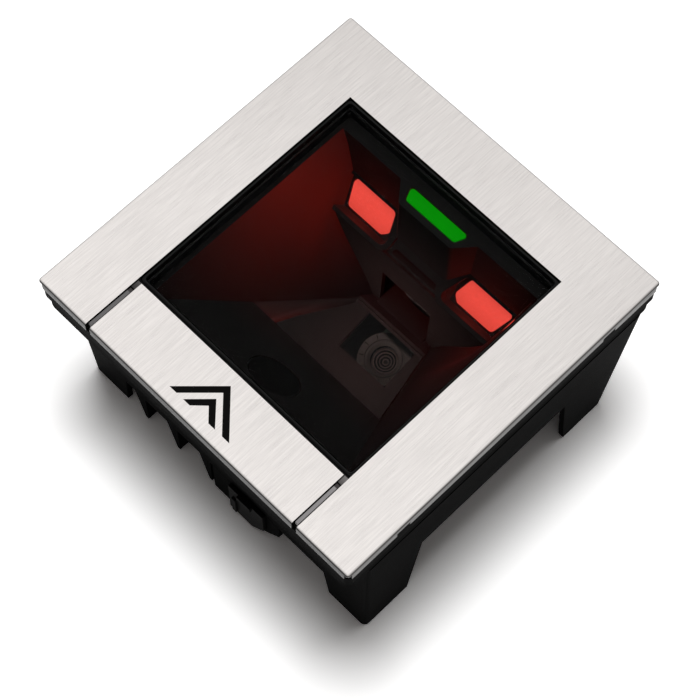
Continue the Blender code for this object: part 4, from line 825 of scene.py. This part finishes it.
def makeScrewShape(settings):
    tree, come, go = newShape("crossScrew", Head_Radius="Float", Head_Rise="Float", Shank_Radius="Float",
                              Shank_Length="Float", Pitch="Float")
    radius, rise, shank, length, pitch = [come[i] for i in range(5)]

    def by(source, share):
        return mathNode(tree, "MULTIPLY", source, share)

    # head: a straight rim under a cone that is cut off for the recess
    straight = settings["rim"]
    rim = putNode(tree, "GeometryNodeMeshCylinder", Vertices=settings["headSteps"], Radius=radius,
                  Depth=by(rise, straight)).outputs["Mesh"]
    dome = putNode(tree, "GeometryNodeMeshCone", Vertices=settings["headSteps"], Radius_Bottom=radius,
                   Radius_Top=by(radius, settings["top"]), Depth=by(rise, 1 - straight)).outputs["Mesh"]
    whole = putNode(tree, "GeometryNodeMeshBoolean", operation="UNION")
    for part, share in ((rim, straight / 2), (dome, straight)):
        feed(whole.inputs["Mesh 2"], lifted(tree, part, by(rise, share)))
    # recess: two crossed blades sunk into the head
    recess = putNode(tree, "GeometryNodeMeshBoolean", operation="DIFFERENCE", Mesh_1=whole.outputs[0])
    long, wide, deep = settings["recess"]
    for turn in (0.0, math.pi / 2):
        size = putNode(tree, "ShaderNodeCombineXYZ", X=by(radius, long), Y=by(radius, wide), Z=by(rise, deep))
        blade = putNode(tree, "GeometryNodeMeshCube", Size=size.outputs[0]).outputs["Mesh"]
        feed(recess.inputs["Mesh 2"], lifted(tree, blade, rise, Rotation=(0, 0, turn)))
    # shank with its wound ridge
    core = putNode(tree, "GeometryNodeMeshCylinder", Vertices=settings["shankSteps"], Radius=shank,
                   Depth=length).outputs["Mesh"]
    wound = by(length, settings["thread"])
    wind = putNode(tree, "GeometryNodeCurveSpiral", Resolution=settings["turnSteps"], Start_Radius=shank,
                   End_Radius=shank, Rotations=mathNode(tree, "DIVIDE", wound, pitch), Height=wound).outputs[0]
    ridge = sweepAlong(tree, wind, by(pitch, settings["ridge"]), settings["ridgeSteps"], caps=True)
    screw = putNode(tree, "GeometryNodeJoinGeometry")
    for part in (recess.outputs[0], lifted(tree, core, by(length, -0.5)),
                 lifted(tree, ridge, by(length, settings["threadEnd"]))):
        feed(screw.inputs[0], part)
    return closeShape(tree, come, go, screw.outputs[0])


def screwPlace(node, rimFrom):
    # where the head meets what it holds, whether the head is on top, and the sizes
    low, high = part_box(node)
    middle = middleOf(node)
    head = (high[0] - low[0]) / 2
    far = [(math.hypot(v.co.x - middle.x, v.co.y - middle.y), v.co.z) for v in nodes[node].data.vertices]
    wide = [z for radius, z in far if radius > rimFrom * head]
    shank = max(radius for radius, z in far if radius < rimFrom * head)
    rise = max(wide) - min(wide)
    onTop = sum(wide) / len(wide) > middle.z
    seat = high[2] - rise if onTop else low[2] + rise
    return Vector((middle.x, middle.y, seat)), onTop, head, rise, shank, high[2] - low[2] - rise


def placeScrews(settings):
    shape = makeScrewShape(settings)
    for node in finishOfNode["screwSteel"]:
        place, onTop, head, rise, shank, length = screwPlace(node, settings["headRim"])
        words = node.split("_")
        name = words[0] + "".join(word.capitalize() for word in words[1:])
        mesh = growMesh(name, shape, "screwSteel", Head_Radius=head, Head_Rise=rise, Shank_Length=length,
                        Shank_Radius=shank * settings["share"], Pitch=head * settings["pitch"])
        turn = None if onTop else Matrix.Rotation(math.pi, 4, "X")
        addPiece(name, placeMesh(mesh, place, turn), [node])


placeScrews(screwForm)
print("screws placed")

# rubber bead that closes the joint between glass and steel

bead = {
    "radius": 0.00042,
    "corner": 0.0016,
    "cornerSteps": 5,
    "steps": 10,
    "sink": 0.00005,  # how far it is pressed into the gasket
    "sharp": 60,
}


def makeBeadShape(settings):
    tree, come, go = newShape("sealBead", Width="Float", Depth="Float", Corner="Float", Bead_Radius="Float")
    path = putNode(tree, "GeometryNodeCurvePrimitiveQuadrilateral", Width=come["Width"], Height=come["Depth"])
    bend = passOn(tree, "GeometryNodeFilletCurve", path.outputs[0], mode="POLY", Count=settings["cornerSteps"],
                  Radius=come["Corner"])
    return closeShape(tree, come, go, sweepAlong(tree, bend, come["Bead Radius"], settings["steps"]))


def makeBead(settings):
    low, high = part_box("window_gasket")
    glassLow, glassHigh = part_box("window_glass")
    width, depth = [(high[i] - low[i] + glassHigh[i] - glassLow[i]) / 2 for i in (0, 1)]
    middle = middleOf("window_gasket")
    middle.z = high[2] - settings["sink"]
    mesh = growMesh("sealBead", makeBeadShape(settings), "sealRubber", sharp=settings["sharp"], Width=width,
                    Depth=depth, Corner=settings["corner"], Bead_Radius=settings["radius"])
    addPiece("sealBead", placeMesh(mesh, middle))


makeBead(bead)
print("bead laid")

# rings inside the camera's lens

lensRings = {
    "count": 4,
    "outer": 0.0046,
    "inner": 0.0011,
    "tube": 0.00027,
    "depth": 0.0012,
    "behind": 0.0004,  # from the back of the glass to the first ring
    "steps": 40,
    "tubeSteps": 8,
    "sharp": 60,
}


def makeRingShape(settings):
    tree, come, go = newShape("ringStack", Count="Int", Outer_Radius="Float", Inner_Radius="Float",
                              Tube="Float", Depth="Float")
    last = mathNode(tree, "SUBTRACT", come["Count"], 1.0)
    step = putNode(tree, "ShaderNodeCombineXYZ", Z=mathNode(tree, "DIVIDE", come["Depth"], last))
    line = putNode(tree, "GeometryNodeMeshLine", Count=come["Count"], Offset=step.outputs[0])
    index = putNode(tree, "GeometryNodeInputIndex").outputs[0]
    narrow = mathNode(tree, "SUBTRACT", come["Inner Radius"], come["Outer Radius"])
    share = mathNode(tree, "DIVIDE", index, last)
    radius = mathNode(tree, "MULTIPLY_ADD", share, narrow, come["Outer Radius"])
    size = putNode(tree, "ShaderNodeCombineXYZ", X=radius, Y=radius, Z=1.0)
    loop = putNode(tree, "GeometryNodeCurvePrimitiveCircle", Resolution=settings["steps"], Radius=1.0)
    copies = passOn(tree, "GeometryNodeInstanceOnPoints", line.outputs[0], Instance=loop.outputs[0],
                    Scale=size.outputs[0])
    plain = passOn(tree, "GeometryNodeRealizeInstances", copies)
    return closeShape(tree, come, go, sweepAlong(tree, plain, come["Tube"], settings["tubeSteps"]))


def makeLensRings(settings):
    middle = middleOf("lens_glass")
    middle.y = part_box("lens_glass")[1][1] + settings["behind"]
    mesh = growMesh("lensRings", makeRingShape(settings), "lensRing", sharp=settings["sharp"],
                    Count=settings["count"], Outer_Radius=settings["outer"], Inner_Radius=settings["inner"],
                    Tube=settings["tube"], Depth=settings["depth"])
    addPiece("lensRings", placeMesh(mesh, middle, faceFront))


makeLensRings(lensRings)

# dark pupil that closes the lens behind its rings

pupil = {"radius": 0.0044, "flat": 0.25, "rise": 0.0007, "steps": 32, "smooth": 30}


def makePupil(settings):
    x, _, z = middleOf("lens_glass")
    radius, rise = settings["radius"], settings["rise"]
    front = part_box("lens_glass")[1][1] + lensRings["behind"] + lensRings["depth"]
    profile = [(0.0, front), (radius * settings["flat"], front), (radius, front - rise), (radius, front + rise),
               (0.0, front + rise)]
    work = bmesh.new()
    corners = [work.verts.new((x + away, y, z)) for away, y in profile]
    edges = [work.edges.new(pair) for pair in zip(corners, corners[1:])]
    bmesh.ops.spin(work, geom=corners + edges, cent=(x, 0, z), axis=(0, 1, 0), angle=2 * math.pi,
                   steps=settings["steps"], use_merge=True)
    mergeClose(work)
    mesh = meshFrom(work, "lensPupil")
    mesh.shade_smooth()
    mesh.set_sharp_from_angle(angle=math.radians(settings["smooth"]))
    mesh.materials.append(finish["pupilDark"])
    addPiece("lensPupil", mesh)


makePupil(pupil)

# raised ticks round the lens barrel's rim

ticks = {"count": 12, "radius": 0.0091, "size": (0.00028, 0.0019, 0.00012)}


def makeTickShape():
    tree, come, go = newShape("rimTicks", Count="Int", Ring_Radius="Float", Tick_Size="Vector")
    ring = putNode(tree, "GeometryNodeMeshCircle", Vertices=come["Count"], Radius=come["Ring Radius"])
    place = putNode(tree, "GeometryNodeInputPosition").outputs[0]
    aim = putNode(tree, "FunctionNodeAlignRotationToVector", axis="Y", Vector=place)
    bar = putNode(tree, "GeometryNodeMeshCube", Size=come["Tick Size"]).outputs["Mesh"]
    copies = passOn(tree, "GeometryNodeInstanceOnPoints", ring.outputs[0], Instance=bar,
                    Rotation=aim.outputs[0])
    return closeShape(tree, come, go, copies, smooth=False)


def makeTicks(settings):
    middle = middleOf("lens_barrel")
    middle.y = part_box("lens_barrel")[0][1]
    mesh = growMesh("rimTicks", makeTickShape(), "tickDark", Count=settings["count"],
                    Ring_Radius=settings["radius"], Tick_Size=settings["size"])
    addPiece("rimTicks", placeMesh(mesh, middle, faceFront))


makeTicks(ticks)
print("lens detailed")

# contacts inside the cable socket

contacts = {
    "count": 10,
    "spacing": 0.00095,
    "size": (0.0004, 0.0009, 0.0075),
    "tip": 0.0150,  # height of the lower ends over the rest plane
    "back": 0.0016,
}


def makeContactShape():
    tree, come, go = newShape("contactRow", Count="Int", Spacing="Float", Contact_Size="Vector")
    step = putNode(tree, "ShaderNodeCombineXYZ", X=come["Spacing"]).outputs[0]
    line = putNode(tree, "GeometryNodeMeshLine", Count=come["Count"], Offset=step).outputs[0]
    blade = putNode(tree, "GeometryNodeMeshCube", Size=come["Contact Size"]).outputs["Mesh"]
    copies = passOn(tree, "GeometryNodeInstanceOnPoints", line, Instance=blade)
    return closeShape(tree, come, go, copies, smooth=False)


def makeContacts(settings):
    low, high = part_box("interface_socket")
    first = (low[0] + high[0] - (settings["count"] - 1) * settings["spacing"]) / 2
    place = Vector((first, (low[1] + high[1]) / 2 + settings["back"],
                    settings["tip"] + settings["size"][2] / 2))
    mesh = growMesh("socketContacts", makeContactShape(), "contactGold", Count=settings["count"],
                    Spacing=settings["spacing"], Contact_Size=settings["size"])
    addPiece("socketContacts", placeMesh(mesh, place))


makeContacts(contacts)
print("contacts set")

# printed arrow on the front plate

arrow = {
    # corners in millimetres
    "outer": [(-14.5, -71.0), (0.0, -56.3), (14.7, -71.0), (11.2, -71.0), (0.0, -59.8), (-11.1, -71.0)],
    "inner": [(-7.8, -71.0), (0.0, -63.0), (7.8, -71.0), (4.6, -71.0), (0.0, -66.5), (-4.6, -71.0)],
    "thickness": 0.00003,
}


def makeArrow(settings):
    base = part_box("front_plate")[1][2]
    work = bmesh.new()
    for outline in (settings["outer"], settings["inner"]):
        face = work.faces.new([work.verts.new((x / 1000, y / 1000, base)) for x, y in outline])
        raised = bmesh.ops.extrude_face_region(work, geom=[face])
        moved = [item for item in raised["geom"] if isinstance(item, bmesh.types.BMVert)]
        bmesh.ops.translate(work, vec=(0, 0, settings["thickness"]), verts=moved)
    mesh = meshFrom(work, "directionArrow")
    mesh.materials.append(finish["printedInk"])
    addPiece("directionArrow", mesh)


makeArrow(arrow)
print("arrow printed")

# camera

cameraSetup = {
    "place": (0.236632, -0.237917, 0.774368),
    "turn": (24.27407235, -0.20758307, 45.23588986),  # degrees
    "lens": 113.9436,
    "sensor": 36.0,
    "near": 0.01,
}


def makeCamera(settings):
    data = bpy.data.cameras.new("photoCamera")
    data.lens = settings["lens"]
    data.sensor_width = settings["sensor"]
    data.clip_start = settings["near"]
    camera = newObject("photoCamera", data)
    camera.location = settings["place"]
    camera.rotation_euler = [math.radians(angle) for angle in settings["turn"]]
    bpy.context.scene.camera = camera


makeCamera(cameraSetup)

# floor, world and lamp

studio = {
    "floorSize": 3.0,
    "floorColour": 0.8,
    "floorSeen": 1.5,  # what the camera, metal and glass see, so that the open floor is white
    "worldLight": 0.13,
    "worldTint": (1.0, 0.955, 0.93),
    "keyPlace": (-0.085, 0.07, 1.25),
    "keyTarget": (0, 0, 0.05),
    "keySize": 0.52,
    "keyPower": 13.2,
}


def seenBranch(tree):
    # 1 for rays that look at the surroundings, 0 for those that carry light
    light = putNode(tree, "ShaderNodeLightPath").outputs
    both = mathNode(tree, "MAXIMUM", light["Is Camera Ray"], light["Is Glossy Ray"])
    return mathNode(tree, "MAXIMUM", both, light["Is Transmission Ray"])


def makeFloor(settings):
    half = settings["floorSize"] / 2
    mesh = bpy.data.meshes.new("paleFloor")
    corners = [(-half, -half, 0), (half, -half, 0), (half, half, 0), (-half, half, 0)]
    mesh.from_pydata(corners, [], [(0, 1, 2, 3)])
    floor = newObject("paleFloor", mesh)
    material = bpy.data.materials.new("paleFloor")
    material.use_nodes = True
    tree = material.node_tree
    tree.nodes.clear()
    colour = mixColour(tree, seenBranch(tree), settings["floorColour"], settings["floorSeen"])
    surface = putNode(tree, "ShaderNodeBsdfDiffuse", Color=colour)
    putNode(tree, "ShaderNodeOutputMaterial", Surface=surface.outputs[0])
    arrangeNodes(tree)
    mesh.materials.append(material)


def makeWorld(settings):
    world = bpy.data.worlds.new("studioWorld")
    world.use_nodes = True
    tree = world.node_tree
    seen = seenBranch(tree)
    light = settings["worldLight"]
    setInputs(tree.nodes["Background"], Color=mixColour(tree, seen, settings["worldTint"], 1.0),
              Strength=mathNode(tree, "MULTIPLY_ADD", seen, 1.0 - light, light))
    arrangeNodes(tree)
    bpy.context.scene.world = world


def makeKeyLamp(settings):
    data = bpy.data.lights.new("keyLamp", "AREA")
    data.shape = "SQUARE"
    data.size = settings["keySize"]
    data.energy = settings["keyPower"]
    lamp = newObject("keyLamp", data)
    lamp.location = settings["keyPlace"]
    aim = Vector(settings["keyTarget"]) - Vector(settings["keyPlace"])
    lamp.rotation_euler = aim.to_track_quat("-Z", "Y").to_euler()
    # neither the camera, nor metal, nor glass sees the lamp itself
    lamp.visible_camera = lamp.visible_glossy = lamp.visible_transmission = False


makeFloor(studio)
makeWorld(studio)
makeKeyLamp(studio)
for tree in [*bpy.data.node_groups, *(material.node_tree for material in finish.values())]:
    arrangeNodes(tree)
bpy.context.scene.view_settings.view_transform = "Standard"
print("stage set")
